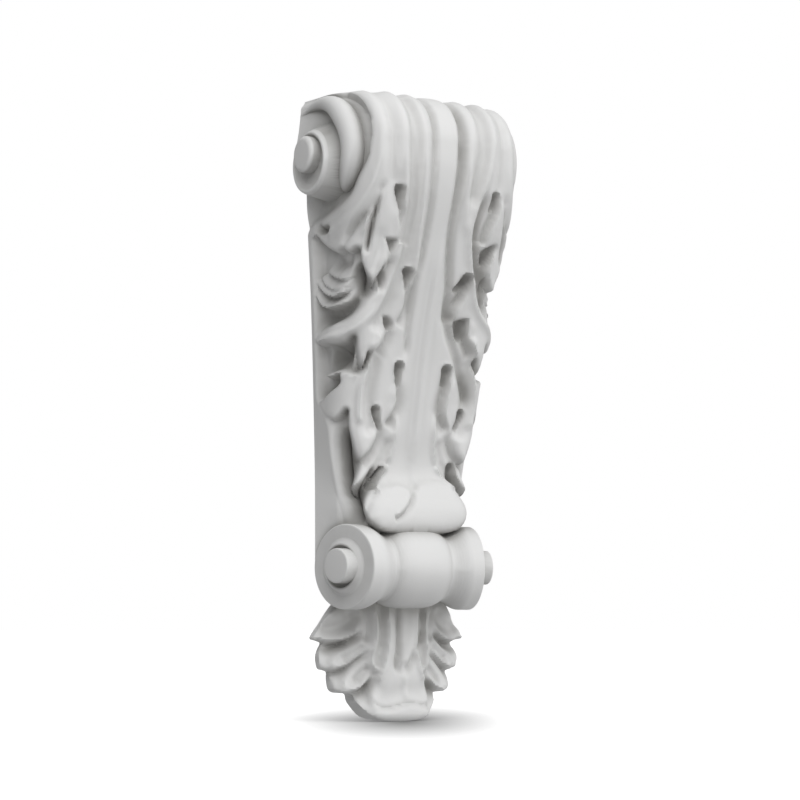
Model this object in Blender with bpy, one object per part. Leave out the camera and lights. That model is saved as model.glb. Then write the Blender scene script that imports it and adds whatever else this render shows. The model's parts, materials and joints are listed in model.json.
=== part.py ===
"""A carved acanthus corbel, cast as one piece.

A scroll bracket for a wall: a volute on each side at the top, one large acanthus
leaf down the front, a turned roll under the leaf and a smaller leaf hanging below
it.  The back and the top are flat.  Lengths in this file are millimetres and turn
into metres when a mesh is made.  The wall is the plane y = 0, the front looks
towards -Y, and the origin is the middle of the flat back.
"""

import math

import bmesh
import bpy
import numpy as np
from mathutils import Matrix, Vector

MM = 0.001

# Driving sizes of the whole bracket
HEIGHT = 400.0          # from the flat top to the tip of the hanging leaf
TOP_WIDTH = 124.0       # across the back at the top
LOW_WIDTH = 106.0       # across the back at the roll
PROJECTION = 78.0       # from the wall to the nose of the scroll
NOSE_RADIUS = 33.0      # rounding of the nose, seen from the side

# The roll
ROLL_LEVEL = -101.8     # height of its axis
ROLL_RADIUS = 27.0
ROLL_WIDTH = 96.0       # over the two end faces, at the axis
RIM_WIDTH = 8.8
WAIST_RADIUS = 21.2
WAIST_WIDTH = 46.0      # between the two waists
BARREL_RADIUS = 26.2
END_SPLAY = 13.0        # degrees that the end faces turn towards the front
RING_RADIUS = 16.7
RING_OUT = 3.0
BUTTON_RADIUS = 11.0
BUTTON_OUT = 11.3
BUTTON_FORWARD = 4.0    # the button sits this much in front of the roll's axis
BUTTON_LIFT = 0.4       # and this much above it

# The volute on each side of the scroll
VOLUTE_OUT = 24.5       # its centre, out from the wall
VOLUTE_LEVEL = 156.0
VOLUTE_RING_RADIUS = 20.6   # of its face
VOLUTE_RING_FLARE = 7.5     # its foot is this much wider
VOLUTE_RING_LEAN = 4.0      # and sits this much higher
VOLUTE_RING_DROP = 1.5      # the face's centre sits this much below the volute's
VOLUTE_RING_DISH = 3.2      # its face is hollowed by this much
VOLUTE_RING_FACE = 74.0     # from the middle plane to the ring's face
VOLUTE_EYE_RADIUS = 11.7
VOLUTE_EYE_FACE = 79.0      # from the middle plane to the eye's face
VOLUTE_EYE_LIFT = 3.5       # the eye sits this much above the volute's centre
FIELD_DROP = 4.5            # the volute's field lies this much behind the side at the front
FIELD_CLIMB = 16.0          # and climbs outwards by this much on its way to the wall
BEAD_RADIUS = 8.0           # the thick end of the bead that winds round the eye
BEAD_CLIMB = 13.5           # how much it climbs outwards on its way to the wall
BEAD_START = 128.0          # degrees round the volute's centre where it starts
BEAD_SWEEP = 182.0          # degrees that it winds round the centre
BEAD_TURN = 25.5            # radius of its turn at its lower end
BEAD_SPREAD = 16.5          # and this much more at its start
BEAD_THIN = 1.4             # its radius at its start
BEAD_ROOT = 4.0             # its inner side runs this far below the field
BEAD_SUNK = 2.6             # its own middle lies this far behind the side's face
BEAD_CROWN = 1.4            # its height over its middle, in its own radii
BEAD_FLANK = 0.4            # height of its flanks, in its own radii

# The hanging leaf
DROP_OUT = 22.0         # its depth at the middle
DROP_EDGE = 6.0         # its depth at the lobes
DROP_TOP = -112.0       # where it goes up into the roll
DROP_REACH = 52.0       # from the middle line to where it has fallen to the lobes
DROP_FULLNESS = 1.3     # how flat its middle stays before it falls to the lobes
TIP_OUT = 2.2           # the rolled tip is this much fuller than the leaf
TIP_HOLLOW = 1.4        # and the tongue above it is hollowed by this much
TIP_HALF = 26.0         # from the middle line to where the tip's form has faded out
TIP_CREASE_CUT = 0.9    # the crease between tongue and tip is cut this deep
TIP_ROUND = 6.0         # rounding of the tip's underside

# Carving
LEAF_RELIEF = 7.0       # from the leaf down to the ground behind its lobes
EYE_DEPTH = 8.0         # of the drilled eyes between the lobes
LIP_OUT = 4.0           # how far the curled lip stands in front of the leaf
FACET = 1.5             # spacing of the carved surface's points before it is thinned
BODY_FACES = 4560
DROP_FACES = 1150

# The sizes at which the outlines of the carving are drawn
DRAWN_HEIGHT = 400.0
DRAWN_WIDTH = 124.0
DRAWN_PROJECTION = 78.0

UP = HEIGHT / DRAWN_HEIGHT
ACROSS = TOP_WIDTH / DRAWN_WIDTH
OUT = PROJECTION / DRAWN_PROJECTION
TOP = HEIGHT / 2
BEHIND = 4.0            # stock left behind the wall plane and above the top, cut off flat
SUNK = 12.0             # how far one form runs inside the next

# Depth of the leaf's middle line against its height, as drawn
MIDDLE_LINE = [(-120, 34), (-90, 34), (-83, 36.5), (-75, 38.5), (-66, 38), (-58, 35.5), (-50, 32.5),
               (-41, 31), (-14, 35.5), (6, 39.5), (28, 44), (50, 49.5), (85, 60), (102, 65), (122, 71),
               (140, 75.5), (155, 77.6), (167, 78)]
# Half width of the leaf against its height, as drawn
LEAF_HALF = [(-120, 44), (-84, 44), (-58, 47), (-30, 52), (8, 56), (60, 59), (100, 60), (219, 60)]
# Radius of the corner between front and side, as drawn
CORNER = [(-120, 15), (0, 18), (100, 22), (219, 23)]
# Above this height the drawn rows fan out round the nose
FAN_LEVEL = 110.0
# Share of the way from the low width to the top width against the height, as drawn
WIDENING = [(-120, 0.0), (-60, 0.03), (8, 0.2), (70, 0.44), (127, 0.78), (200, 1.0)]


def ease(value):
    """0 below 0, 1 above 1, smooth between."""
    clipped = np.clip(value, 0.0, 1.0)
    return clipped * clipped * (3.0 - 2.0 * clipped)


def through(points, steps=6):
    """A smooth line through the points, as an array of (across, up)."""
    points = np.array(points, float)
    ends = np.vstack([2 * points[0] - points[1], points, 2 * points[-1] - points[-2]])
    t = np.linspace(0.0, 1.0, steps, endpoint=False)[:, None]
    pieces = []
    for a, b, c, d in zip(ends[:-3], ends[1:-2], ends[2:-1], ends[3:]):
        pieces.append(0.5 * (2 * b + (c - a) * t + (2 * a - 5 * b + 4 * c - d) * t ** 2
                             + (3 * b - a - 3 * c + d) * t ** 3))
    return np.vstack(pieces + [points[-1:]])


def table(at, rows):
    """Smooth value of a table of (place, value) rows."""
    rows = np.array(rows, float)
    place = rows[:, 0]
    value = rows[:, 1]
    slope = np.diff(value) / np.diff(place)
    product = slope[:-1] * slope[1:]
    total = slope[:-1] + slope[1:]
    inner = np.where(product > 0, 2 * product / np.where(total == 0, 1, total), 0.0)
    tangent = np.concatenate([slope[:1], inner, slope[-1:]])
    at = np.clip(at, place[0], place[-1])
    index = np.clip(np.searchsorted(place, at) - 1, 0, len(place) - 2)
    step = place[index + 1] - place[index]
    t = (at - place[index]) / step
    return ((2 * t ** 3 - 3 * t ** 2 + 1) * value[index] + (t ** 3 - 2 * t ** 2 + t) * step * tangent[index]
            + (3 * t ** 2 - 2 * t ** 3) * value[index + 1] + (t ** 3 - t ** 2) * step * tangent[index + 1])


def to_line(q, v, line):
    """Distance to a line, negative on its right, and the share of the way along it."""
    best = np.full(q.shape, 1e9)
    share = np.zeros(q.shape)
    left = np.ones(q.shape)
    count = len(line) - 1
    for number, (start, end) in enumerate(zip(line[:-1], line[1:])):
        run = end - start
        length = max(float(run @ run), 1e-9)
        t = np.clip(((q - start[0]) * run[0] + (v - start[1]) * run[1]) / length, 0.0, 1.0)
        away = np.hypot(q - start[0] - t * run[0], v - start[1] - t * run[1])
        nearer = away < best
        best = np.where(nearer, away, best)
        share = np.where(nearer, (number + t) / count, share)
        left = np.where(nearer, np.sign(run[0] * (v - start[1]) - run[1] * (q - start[0])), left)
    return best * left, share


def inside(q, v, outline):
    """Distance to a closed outline, positive inside it."""
    closed = np.vstack([outline, outline[:1]])
    away = np.abs(to_line(q, v, closed)[0])
    within = np.zeros(q.shape, bool)
    for (q0, v0), (q1, v1) in zip(closed[:-1], closed[1:]):
        if v0 == v1:
            continue
        crosses = ((v0 > v) != (v1 > v)) & (q < (q1 - q0) * (v - v0) / (v1 - v0) + q0)
        within ^= crosses
    return np.where(within, away, -away)


def rounded(distance, width):
    """Rounded edge: 0 at the outline, 1 from the width inwards."""
    t = np.clip(distance / width, 0.0, 1.0)
    return np.sqrt(np.clip(1.0 - (1.0 - t) ** 2, 0.0, 1.0))


def ridge(q, v, line, height, width, ends=0.12):
    """Raised or, with a negative height, hollowed line that fades at its ends."""
    away, share = to_line(q, v, through(line))
    fade = ease(share / ends) * ease((1.0 - share) / ends)
    return height * fade * np.exp(-(away / width) ** 2)


def leaf_edge(q, v, line, climb_start, climb_end, drop):
    """Step along a leaflet's edge: a climb to it on the left of the line, a drop on the right."""
    away, share = to_line(q, v, through(line))
    fade = ease(share / 0.3) * ease((1.0 - share) / 0.12)
    climb = (climb_start + (climb_end - climb_start) * share) * np.exp(-(away / CLIMB_WIDTH) ** 2)
    upper = ease((away + EDGE_SOFT) / (2 * EDGE_SOFT))
    return fade * (climb * upper - drop * np.exp(-(away / DROP_WIDTH) ** 2) * (1.0 - upper))


def pit(q, v, line, wide, narrow, depth):
    """Drilled drop-shaped eye along a line, from its wide end to its narrow end, with a raised rim."""
    away, share = to_line(q, v, through(line))
    away = np.abs(away)
    radius = wide + (narrow - wide) * share
    large = radius / max(wide, narrow)
    rim = 0.5 * large * np.exp(-((away - radius - 1.0) / 1.0) ** 2)
    return rim - depth * large ** 1.3 * ease((1.3 - away / radius) / 1.1)


# The carving, as drawn: across is measured round the section from the middle line,
# up is measured along the front from mid height.
SHEET = [(-10, 230), (52, 230), (57.5, 170), (59, 150), (55, 130), (50, 115), (44, 100), (40, 85), (38, 72),
         (42, 60), (46, 50), (41, 35), (38, 20), (37, 5), (35, -10), (31, -25), (29, -38), (31, -48),
         (38, -56), (41, -64), (39.5, -70), (35.5, -76), (29, -80), (15, -82), (-10, -82)]
LOBES = [
    # outline, lift at the tip, where the lift starts and where it is full
    ([(44, 222), (50.5, 216), (57.5, 170), (59.5, 152.6), (66, 131), (78, 123.5), (91.5, 119.8), (113, 115),
      (104, 107), (95, 101.8), (86, 98), (77.6, 95.5), (72, 97.5), (68, 95), (63, 94), (58.3, 96.5),
      (56, 89), (52.5, 82), (48, 76), (44.2, 71), (43.5, 76), (39.8, 83), (36, 92), (31, 100.6),
      (31.2, 108), (32, 112), (34, 121), (30, 135), (24, 150), (20, 222)], 2.5, (42, 110), (45, 74)),
    ([(35, 85), (41.2, 71.8), (47.7, 58.2), (58, 48.6), (71, 47), (88, 44.5), (93, 43.5), (88, 40),
      (84.4, 39), (74, 38.5), (63.8, 37.5), (57, 38.5), (52, 43), (50.5, 37), (48.5, 30), (44.5, 21.0),
      (41.5, 27.8), (40.5, 33.0), (36.5, 32.5), (31.9, 38), (30.9, 43.8), (32.3, 49.4), (26, 60),
      (20, 75), (22, 90)],
     2.5, (38, 70), (44, 24)),
    ([(30, 45), (40, 30), (43.8, 22), (48, 20.5), (54, 22), (62, 22.5), (76, 20.5), (72, 17.5), (66, 16.5),
      (60, 18.5), (64, 13.5), (78.6, 4.6), (79.5, 2), (77.4, 0.6),
      (73, -3.5), (68.9, -6.6), (63, -9), (58.5, -9.8), (54.5, -7), (52.1, -3.4), (51, -4.2), (50.5, -10),
      (49.2, -16.2), (45.3, -27), (40, -36.5), (34.5, -32), (31, -26), (28.6, -18.6), (28, -13), (26, -5),
      (20, 5), (16, 15), (20, 30)], 3.0, (38, 5), (39, -33)),
    ([(13, 6), (14.5, -13.8), (15.9, -25), (18.5, -37.8), (21, -35.4), (27, -39), (33, -45), (36, -49),
      (42, -54), (48.7, -57), (46, -50), (41, -40), (36, -28), (30, -12), (24, 0)], 1.5, (24, -20),
      (45, -54)),
]
# Ridges and flutes: line, height, half width, fading share at the ends
RIDGES = [
    ([(50, 224), (51.5, 192), (50, 167), (51, 147), (57, 130), (67, 118), (80, 111), (92, 107.5)],
     2.0, 4.2, 0.08),
    ([(42, 250), (43, 190), (42.5, 171), (41.6, 150), (39.6, 132), (38, 116)], -2.6, 4.4, 0.30),
    ([(0, 240), (0, 100)], 1.2, 6.5, 0.20),
    ([(0, 120), (0, -46)], 2.2, 4.0, 0.20),
    ([(46.8, 137), (54.6, 121), (63.4, 110.4), (69.5, 102), (71, 95)], -3.6, 2.2, 0.08),
    ([(48.5, 134), (52.8, 124.6), (55, 115.8), (56, 102)], 1.6, 1.7, 0.15),
    ([(36.5, 48), (36.6, 42), (40.5, 31.5), (41.0, 22), (43.4, 11.8), (43.5, 3.8), (42.8, -5), (40.4, -13)],
     2.4, 2.2, 0.10),
    ([(33.5, 36), (35, 22), (36.5, 5), (35, -10), (33.5, -20)], -3.2, 4.2, 0.15),
    ([(19, -18), (21, -28), (25, -38), (34, -46)], -2.2, 3.2, 0.20),
    ([(15.5, -2), (15, -14), (15.8, -25), (18.5, -37)], 1.8, 1.7, 0.15),
    ([(18.4, -36), (21, -40.5), (25.2, -45.6), (29, -49.6), (30.6, -53)], 1.8, 1.5, 0.12),
    ([(43, 112), (45.5, 100), (47.5, 88), (46.5, 78)], -1.6, 4.0, 0.25),
]
# The two halves were carved freely, so the long ridges and the valleys of the stem differ
SIDE_RIDGES = {
    -1: [
        ([(33, 240), (34, 200), (34, 171), (33.5, 150), (31.5, 136), (30, 122), (29, 108), (30, 94),
          (34.4, 76), (39.6, 61.4), (47.4, 52), (58.6, 45.4), (71, 43.4), (88, 42)], 2.2, 2.8, 0.05),
        ([(19, 240), (19.6, 190), (19, 150), (18.2, 125), (17.6, 105), (16, 90),
          (14.8, 78)], 2.2, 2.6, 0.12),
        ([(26, 240), (26.5, 171), (25.5, 128), (24.5, 105), (26, 86), (31, 68), (37, 54), (42, 46)],
         -2.4, 4.0, 0.10),
        ([(9, 240), (11.5, 190), (12, 150), (11.5, 125), (11.8, 105), (12.9, 90), (14.4, 77), (15, 64),
          (14.4, 50), (13.4, 39), (13.4, 28)], -2.4, 2.0, 0.10),
        ([(2.6, 90), (2.2, 40), (2.0, -30)], -0.7, 1.0, 0.15),
    ],
    1: [
        ([(33, 240), (34, 200), (33, 171), (30, 150), (26.5, 135), (23, 122), (21.8, 112), (24, 99),
          (29.4, 82), (34.4, 69), (41, 60), (48, 54), (59, 47.5), (71, 45.5), (86, 43.5)], 2.4, 2.6, 0.05),
        ([(19, 240), (18.5, 190), (15.5, 155), (15.5, 128), (17.5, 108)], 2.0, 2.8, 0.12),
        ([(26, 240), (26, 171), (22.4, 148), (18.5, 126)], -2.4, 4.0, 0.14),
        ([(31, 142), (27.4, 126), (25.6, 114), (28.2, 99), (34, 82), (38.6, 70), (44.4, 62.4), (55, 58)],
         -4.6, 2.6, 0.12),
        ([(8, 240), (9.5, 190), (8.6, 154), (7.0, 118), (8.6, 97), (11.8, 78), (14, 60), (18.4, 47.4),
          (25.2, 36), (32.6, 19), (37.6, 8.6), (40.5, 0)], -4.2, 2.8, 0.10),
    ],
}
# Edges of the leaflets that lie over the next one: the leaf climbs to the edge on its
# left and drops on its right, following the line
EDGES = [
    # line, climb at the start, climb at the end, drop
    ([(28.4, -12), (28.6, -21), (33, -29.5), (39.6, -36.4)], 1.0, 2.2, 3.6),
    ([(21, -36), (27.4, -41.6), (33.6, -46.8), (37.6, -50.2), (44.8, -54.2), (48.7, -57)], 1.6, 1.6, 1.6),
]
SIDE_EDGES = {
    -1: [
        ([(34.6, 124), (33.6, 117), (31.6, 110), (31, 104.5), (31.6, 101)], 1.4, 1.0, 3.6),
        ([(35.4, 95.5), (37, 89), (39, 83), (42, 77.5), (44.2, 72)], 1.0, 2.0, 3.4),
        ([(21.6, 77), (20, 70), (19.6, 63), (21, 57), (24, 51)], 1.4, 1.0, 3.6),
        ([(30.6, 48), (30.6, 43), (32.2, 38.5), (36.5, 33)], 0.8, 1.6, 3.2),
        ([(17.6, 16), (16.8, 8.5), (16.6, 2), (19, -5), (24, -12.6)], 1.6, 2.2, 3.6),
    ],
    1: [
        ([(42.6, 135), (41.3, 129), (38.1, 119.8), (34.4, 110.4), (33.6, 104)], 1.6, 1.2, 4.6),
        ([(46.6, 106), (41.6, 98.4), (37.6, 91.6), (38, 84.8), (42, 78.4), (49, 74.6)], 1.2, 2.0, 5.0),
        ([(27.6, 87), (27, 82.6), (26, 76), (23.4, 69.6), (19.6, 63.8), (18.8, 59),
          (19.4, 54.6)], 1.8, 1.4, 5.4),
        ([(31.2, 59), (30.6, 55.6), (30.2, 51.8), (31, 47), (36, 40), (40, 34.6)], 1.2, 1.6, 5.0),
        ([(23.6, 23), (22.9, 19.2), (21.4, 11.8), (19.8, 3.8), (20, -2.6), (23, -9), (27.4, -13.4)],
         2.0, 2.4, 5.4),
    ],
}
CLIMB_WIDTH = 5.0
DROP_WIDTH = 6.0
EDGE_SOFT = 1.5
# The curled lip at the foot of the leaf overlaps itself, so its two halves differ: for each
# side its crest and its foot, then the rim and the crease where one half runs over the other
LIP_CREST = {
    -1: [(-10, -53.6), (0, -54.2), (2.6, -54.6), (4.6, -55.4), (7, -53), (13.7, -51.2), (22.1, -53),
         (28.2, -55.6), (30.7, -53)],
    1: [(-10, -53.6), (0, -54.2), (3.1, -50.6), (11.9, -48.2), (20.7, -48.2), (27.6, -49.8), (31.6, -52.2),
        (35, -55)],
}
LIP_FOOT = {
    -1: [(30.7, -53), (30.8, -56.2), (33.5, -61), (37, -67.4), (37.1, -73), (33.6, -77), (29.6, -80.2),
         (19.8, -81.4), (-10, -81.4)],
    1: [(35, -55), (38.5, -60), (40.5, -66), (39, -72), (34, -76.4), (28.6, -78.6), (16, -80.6),
        (-10, -81.4)],
}
LIP_CREASE = [(3.6, -54.6), (4.4, -59.4), (10, -66), (15.2, -70.2), (19.3, -71.8)]
LIP_RIM = [(4.6, -55), (6.8, -60.2), (13.1, -66.4), (19.4, -70.2)]
# Drilled eyes: line from the wide end to the narrow end, wide radius, narrow radius
EYES = {
    -1: [
        ([(35.8, 133), (35.2, 128), (33.4, 121)], 3.0, 1.3),
        ([(20.6, 83.4), (20.4, 79), (20.4, 74)], 3.2, 1.3),
        ([(17.2, 25.5), (17.4, 20), (16.6, 13)], 3.1, 1.4),
        ([(30.8, -2.5), (29.6, -8), (26.8, -14.4)], 2.4, 1.2),
        ([(22.2, -38.8), (26.6, -43.6), (30.6, -49.2), (33.6, -56)], 1.2, 2.2),
    ],
    1: [
        ([(38, 135), (36, 129), (32.6, 121)], 3.6, 1.6),
        ([(25.4, 83), (22.6, 79.6), (18, 75.6)], 3.6, 2.2),
        ([(19.6, 24.6), (18.6, 19), (18, 12)], 3.8, 1.6),
        ([(34.6, -2), (33.2, -6), (31, -12)], 2.6, 1.4),
        ([(31, -37), (31, -42), (33.5, -48)], 3.2, 2.2),
    ],
}
# Three-cornered pockets where one leaflet's tip lies over the next
POCKETS = {
    -1: [
        [(41.5, 104), (36.8, 103), (32.6, 102.6), (33.6, 98.6), (35.6, 94), (38.6, 98.8)],
        [(33.4, 55.6), (29.6, 55.2), (26.4, 51.6), (27.4, 46.6), (30.2, 47.2), (32.4, 51)],
    ],
    1: [
        [(47, 106.4), (40.4, 105), (33, 101.4), (33.4, 96.5), (36.6, 92), (42, 98)],
        [(31.4, 59), (25, 57.2), (20.2, 55.8), (21.8, 50), (26, 43.4), (30.2, 46.6), (29.8, 52)],
    ],
}
SLITS = [
    # line, depth, half width
    ([(48.2, 129.4), (50.7, 118.2), (52, 107.8), (52.2, 98)], 4.6, 1.4),
    ([(90.5, 115), (96, 113), (103, 114.4), (112, 120.5)], 6.0, 2.2),
    ([(58, 16.2), (63, 12.8), (70, 9.6), (79, 5.6)], 4.0, 1.6),
]
# Lower edges of the nested leaflets on the side under the first lobe, from the uppermost
SHELLS = [
    [(96, 91.5), (92, 88.4), (83.7, 84.4), (72, 80.8), (62.4, 82.2), (58, 88)],
    [(106, 88), (101, 83.6), (88.5, 75.2), (72, 71.4), (60.2, 72.2), (54, 78.5)],
    [(106, 82), (101, 78.6), (85, 69.8), (71, 67.6), (59, 69), (52, 76)],
    [(106, 77), (100.7, 72.6), (88.6, 64.8), (70, 63.4), (57, 66.6), (49, 74)],
]
SHELL_RISE = (2.8, 3.8, 4.8, 5.8)
SHELL_CLIMB = 2.5       # over this length each leaflet climbs to its edge
SHELL_STEP = 0.8        # and over this length it steps down again
COVE_RISE = 7.0         # the cove climbs by this much up to the second lobe
COVE_WIDTH = 6.0
POCKET_SHARE = 0.75     # depth of the pockets against the eyes'
LIP_CLIMB = 3.6         # the lip climbs from the leaf over this length
LIP_ROUND = 8.0         # and its front is rounded over this width
LOBE_RIM = 0.35         # raised rim just inside the lobes' outlines
LOBE_ROUND = 3.4        # their edges are rounded over this width
COVE = [(41, 72.5), (47.4, 58.6), (58, 49), (71, 47.4), (88, 45), (100, 43.4)]
HOLLOWS = [
    # deep places in the ground behind the lobes: line, depth, half width
    ([(50, 31), (60, 31), (70, 30.5), (80, 31)], 12.0, 6.5),
    ([(64, 90.5), (76, 89.5), (89, 93)], 3.0, 3.0),
    ([(59, 88), (51, 75), (45, 66)], 12.0, 4.6),
    ([(96, 58), (76, 56), (60, 59), (50, 67)], 5.0, 3.4),
    ([(51, -12), (47, -30), (44, -44), (43, -60), (43, -78)], 11.0, 6.5),
    ([(36, -52), (42, -62), (42, -78)], 4.0, 4.0),
]
VOLUTE_EDGE = [(50, 224), (51.5, 205), (57.5, 170), (59.5, 152.6), (66, 131), (78, 124), (91.5, 120.3),
               (113, 116), (125, 116), (125, 224)]


def leaf_surface(up):
    """The smooth block that the leaf is carved on: one row of points for each height.

    Returns the half width position, the depth, the height and the distance round the
    section, with the last two as drawn, for the half from the middle line to the wall.
    """
    nose_out = DRAWN_PROJECTION - NOSE_RADIUS / OUT
    nose_level = DRAWN_HEIGHT / 2 - NOSE_RADIUS / UP
    radius_out = NOSE_RADIUS / OUT
    radius_up = NOSE_RADIUS / UP
    turn = np.clip((up - nose_level) / NOSE_RADIUS, 0.0, math.pi / 2)
    below = np.minimum(up, nose_level)
    front_line = table(below, MIDDLE_LINE) * DRAWN_PROJECTION / MIDDLE_LINE[-1][1]
    depth = np.where(up > nose_level, nose_out + radius_out * np.cos(turn), front_line)
    level = np.where(up > nose_level, nose_level + radius_up * np.sin(turn), up)
    half = table(up, LEAF_HALF)
    corner = table(up, CORNER)
    corner_out = np.minimum(corner * 1.15, depth * 0.55)
    top_up = nose_level + NOSE_RADIUS * math.pi / 2
    fan = (DRAWN_HEIGHT / 2 - FAN_LEVEL) / (top_up - FAN_LEVEL)
    wall_level = np.where(up > FAN_LEVEL, FAN_LEVEL + (up - FAN_LEVEL) * fan, up)
    low_half = LOW_WIDTH / ACROSS / 2
    wall_half = low_half + (DRAWN_WIDTH / 2 - low_half) * table(wall_level, WIDENING)
    front_steps = max(int(38 / FACET), 6)
    corner_steps = max(int(36 / FACET), 6)
    side_steps = max(int(50 / FACET), 8)
    front = np.linspace(0.0, 1.0, front_steps, endpoint=False)[None, :]
    bend = np.linspace(0.0, math.pi / 2, corner_steps, endpoint=False)[None, :]
    side = np.linspace(0.0, 1.0, side_steps)[None, :]
    rows = np.ones((len(up), 1))
    x = np.hstack([(half - corner)[:, None] * front,
                   (half - corner)[:, None] + corner[:, None] * np.sin(bend),
                   half[:, None] + (wall_half - half)[:, None] * side])
    y = np.hstack([depth[:, None] * rows * np.ones_like(front),
                   (depth - corner_out)[:, None] + corner_out[:, None] * np.cos(bend),
                   (depth - corner_out)[:, None] * (1.0 - side)])
    share = y / depth[:, None]
    z = level[:, None] * share + wall_level[:, None] * (1.0 - share)
    step = np.hypot(np.diff(x, axis=1), np.diff(y, axis=1))
    q = np.hstack([np.zeros((len(up), 1)), np.cumsum(step, axis=1)])
    v = np.repeat(up[:, None], q.shape[1], axis=1)
    return x, y, z, q, v


def angle_round_volute(out, level):
    """Degrees round the volute's centre: 0 to the front, 90 up, 180 at the wall."""
    angle = np.degrees(np.arctan2(level - VOLUTE_LEVEL, out - VOLUTE_OUT))
    return np.where(angle < -120, angle + 360, angle)


def volute_field(out, level):
    """Height of the volute's field: it climbs outwards as it winds up and back to the wall."""
    angle = angle_round_volute(out, level)
    climb = ease((angle - 45) / 160) * ease((244 - angle) / 56)
    return -FIELD_DROP + FIELD_CLIMB * climb


def side_ground(q, v, out, level):
    """Height of the ground behind the lobes."""
    # A thin border at the wall, wider low down, then a fall to the corner
    high = ease((v + 14.0) / 24.0)
    border = 16.0 - 12.5 * high
    fall = 12.0 - 5.0 * high
    ground = -LEAF_RELIEF * ease((out - border) / fall)
    ground = np.where(q < 40, -LEAF_RELIEF, ground)
    # Field of the volute: a step behind the band above, a cove below, flush at the wall below
    to_edge = inside(q, v, through(VOLUTE_EDGE, 4))
    in_field = np.maximum(to_edge, 0.0)
    low = ease((VOLUTE_LEVEL + 4.0 - level) / 22.0)
    field = volute_field(out, level) * ease(in_field / (1.0 + 11.0 * low) + 0.3 * (1.0 - low))
    from_centre = np.hypot(out - VOLUTE_OUT, level - VOLUTE_LEVEL)
    field = np.where(from_centre < VOLUTE_RING_RADIUS - 1.0, np.minimum(field, 4.0), field)
    ground = np.where(to_edge > -6.0, field, ground)
    # Nested leaflets under the first lobe: each climbs to its lower edge and ends in a step
    for line, rise in zip(SHELLS, SHELL_RISE):
        away, share = to_line(q, v, through(line))
        fade = ease(share / 0.12) * ease((1 - share) / 0.12)
        slope = np.where(away < 0, SHELL_CLIMB, SHELL_STEP)
        petal = -LEAF_RELIEF + rise * fade * np.exp(-(away / slope) ** 2)
        ground = np.maximum(ground, np.where(out > 3.0, petal, -LEAF_RELIEF))
    away, _ = to_line(q, v, through(COVE))
    cove = -LEAF_RELIEF + COVE_RISE * np.exp(-(away / COVE_WIDTH) ** 2)
    ground = np.maximum(ground, np.where(q > 40, cove, -LEAF_RELIEF))
    for line, depth, width in HOLLOWS:
        ground = ground + ridge(q, v, line, -depth, width, 0.2)
    return ground


def curled_lip(q, v, side):
    """Share of the lip's height: a concave climb to its crest, then a full rounded front."""
    crest = through(LIP_CREST[side], 4)
    foot = through(LIP_FOOT[side], 4)
    within = inside(q, v, np.vstack([crest, foot]))
    climb = np.exp(-np.abs(to_line(q, v, crest)[0]) / LIP_CLIMB)
    return np.where(within > 0, rounded(np.abs(to_line(q, v, foot)[0]), LIP_ROUND), climb)


def carving(q, v, out, level, side):
    """Height of the carving over the block's surface; side is -1 or 1."""
    ground = side_ground(q, v, out, level)
    leaf = np.zeros(q.shape)
    for line, height, width, ends in RIDGES + SIDE_RIDGES[side]:
        leaf = leaf + ridge(q, v, line, height, width, ends)
    for line, first, last, drop in EDGES + SIDE_EDGES[side]:
        leaf = leaf + leaf_edge(q, v, line, first, last, drop)
    # The ridges grow fainter towards the nose
    leaf = leaf * (1.0 - 0.5 * ease((v - 120.0) / 80.0))
    carved = ground
    for outline, lift, start, end in [(SHEET, 0.0, (0, 0), (0, -1))] + LOBES:
        start = np.array(start, float)
        run = np.array(end, float) - start
        along = ((q - start[0]) * run[0] + (v - start[1]) * run[1]) / float(run @ run)
        within = inside(q, v, through(outline, 3))
        top = leaf + lift * ease(along) * ease(within / 6.0) + LOBE_RIM * np.exp(-((within - 2.0) / 1.3) ** 2)
        shaped = ground + (top - ground) * rounded(within, LOBE_ROUND)
        carved = np.where(within > 0, np.maximum(carved, shaped), carved)
    for line, cut, width in SLITS:
        carved = carved + ridge(q, v, line, -cut, width, 0.12)
    for line, wide, narrow in EYES[side]:
        carved = carved + pit(q, v, line, wide, narrow, EYE_DEPTH)
    for outline in POCKETS[side]:
        within = inside(q, v, through(outline + outline[:1], 4))
        carved = carved - EYE_DEPTH * POCKET_SHARE * ease((within + 0.8) / 3.4)
    on_leaf = ease(inside(q, v, through(SHEET, 3)) / 2.5)
    carved = carved + LIP_OUT * curled_lip(q, v, side) * on_leaf
    if side < 0:
        carved = carved + ridge(q, v, LIP_CREASE, -3.0, 1.3, 0.08) + ridge(q, v, LIP_RIM, 1.2, 1.4, 0.1)
    return carved


def body_points():
    """Rows of points over the carved front and sides, wall to wall, in millimetres."""
    top_up = DRAWN_HEIGHT / 2 - NOSE_RADIUS / UP + NOSE_RADIUS * math.pi / 2
    bottom_up = ROLL_LEVEL / UP
    count = int((top_up - bottom_up) / FACET)
    up = np.linspace(top_up, bottom_up, count)
    x, out, level, q, v = leaf_surface(up)
    surface = np.stack([x * ACROSS, -out * OUT, level * UP], axis=-1)
    along = np.gradient(surface, axis=1)
    down = np.gradient(surface, axis=0)
    normal = np.cross(down, along)
    normal /= np.linalg.norm(normal, axis=-1, keepdims=True)
    # The flat top keeps its rim level, and the back rim stays on the wall plane
    flat = ease((top_up - v) / 6.0)
    halves = []
    for side in (-1, 1):
        height = carving(q, v, out, level, side)
        half = surface + normal * (height * flat)[..., None]
        half[:, -1, 1] = 0.0
        half[..., 1] = np.minimum(half[..., 1], 0.0)
        half[..., 0] *= side
        halves.append(half)
    middle = (halves[0][:, :1] + halves[1][:, :1]) / 2
    return np.concatenate([halves[0][:, :0:-1], middle, halves[1][:, 1:]], axis=1)


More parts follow.
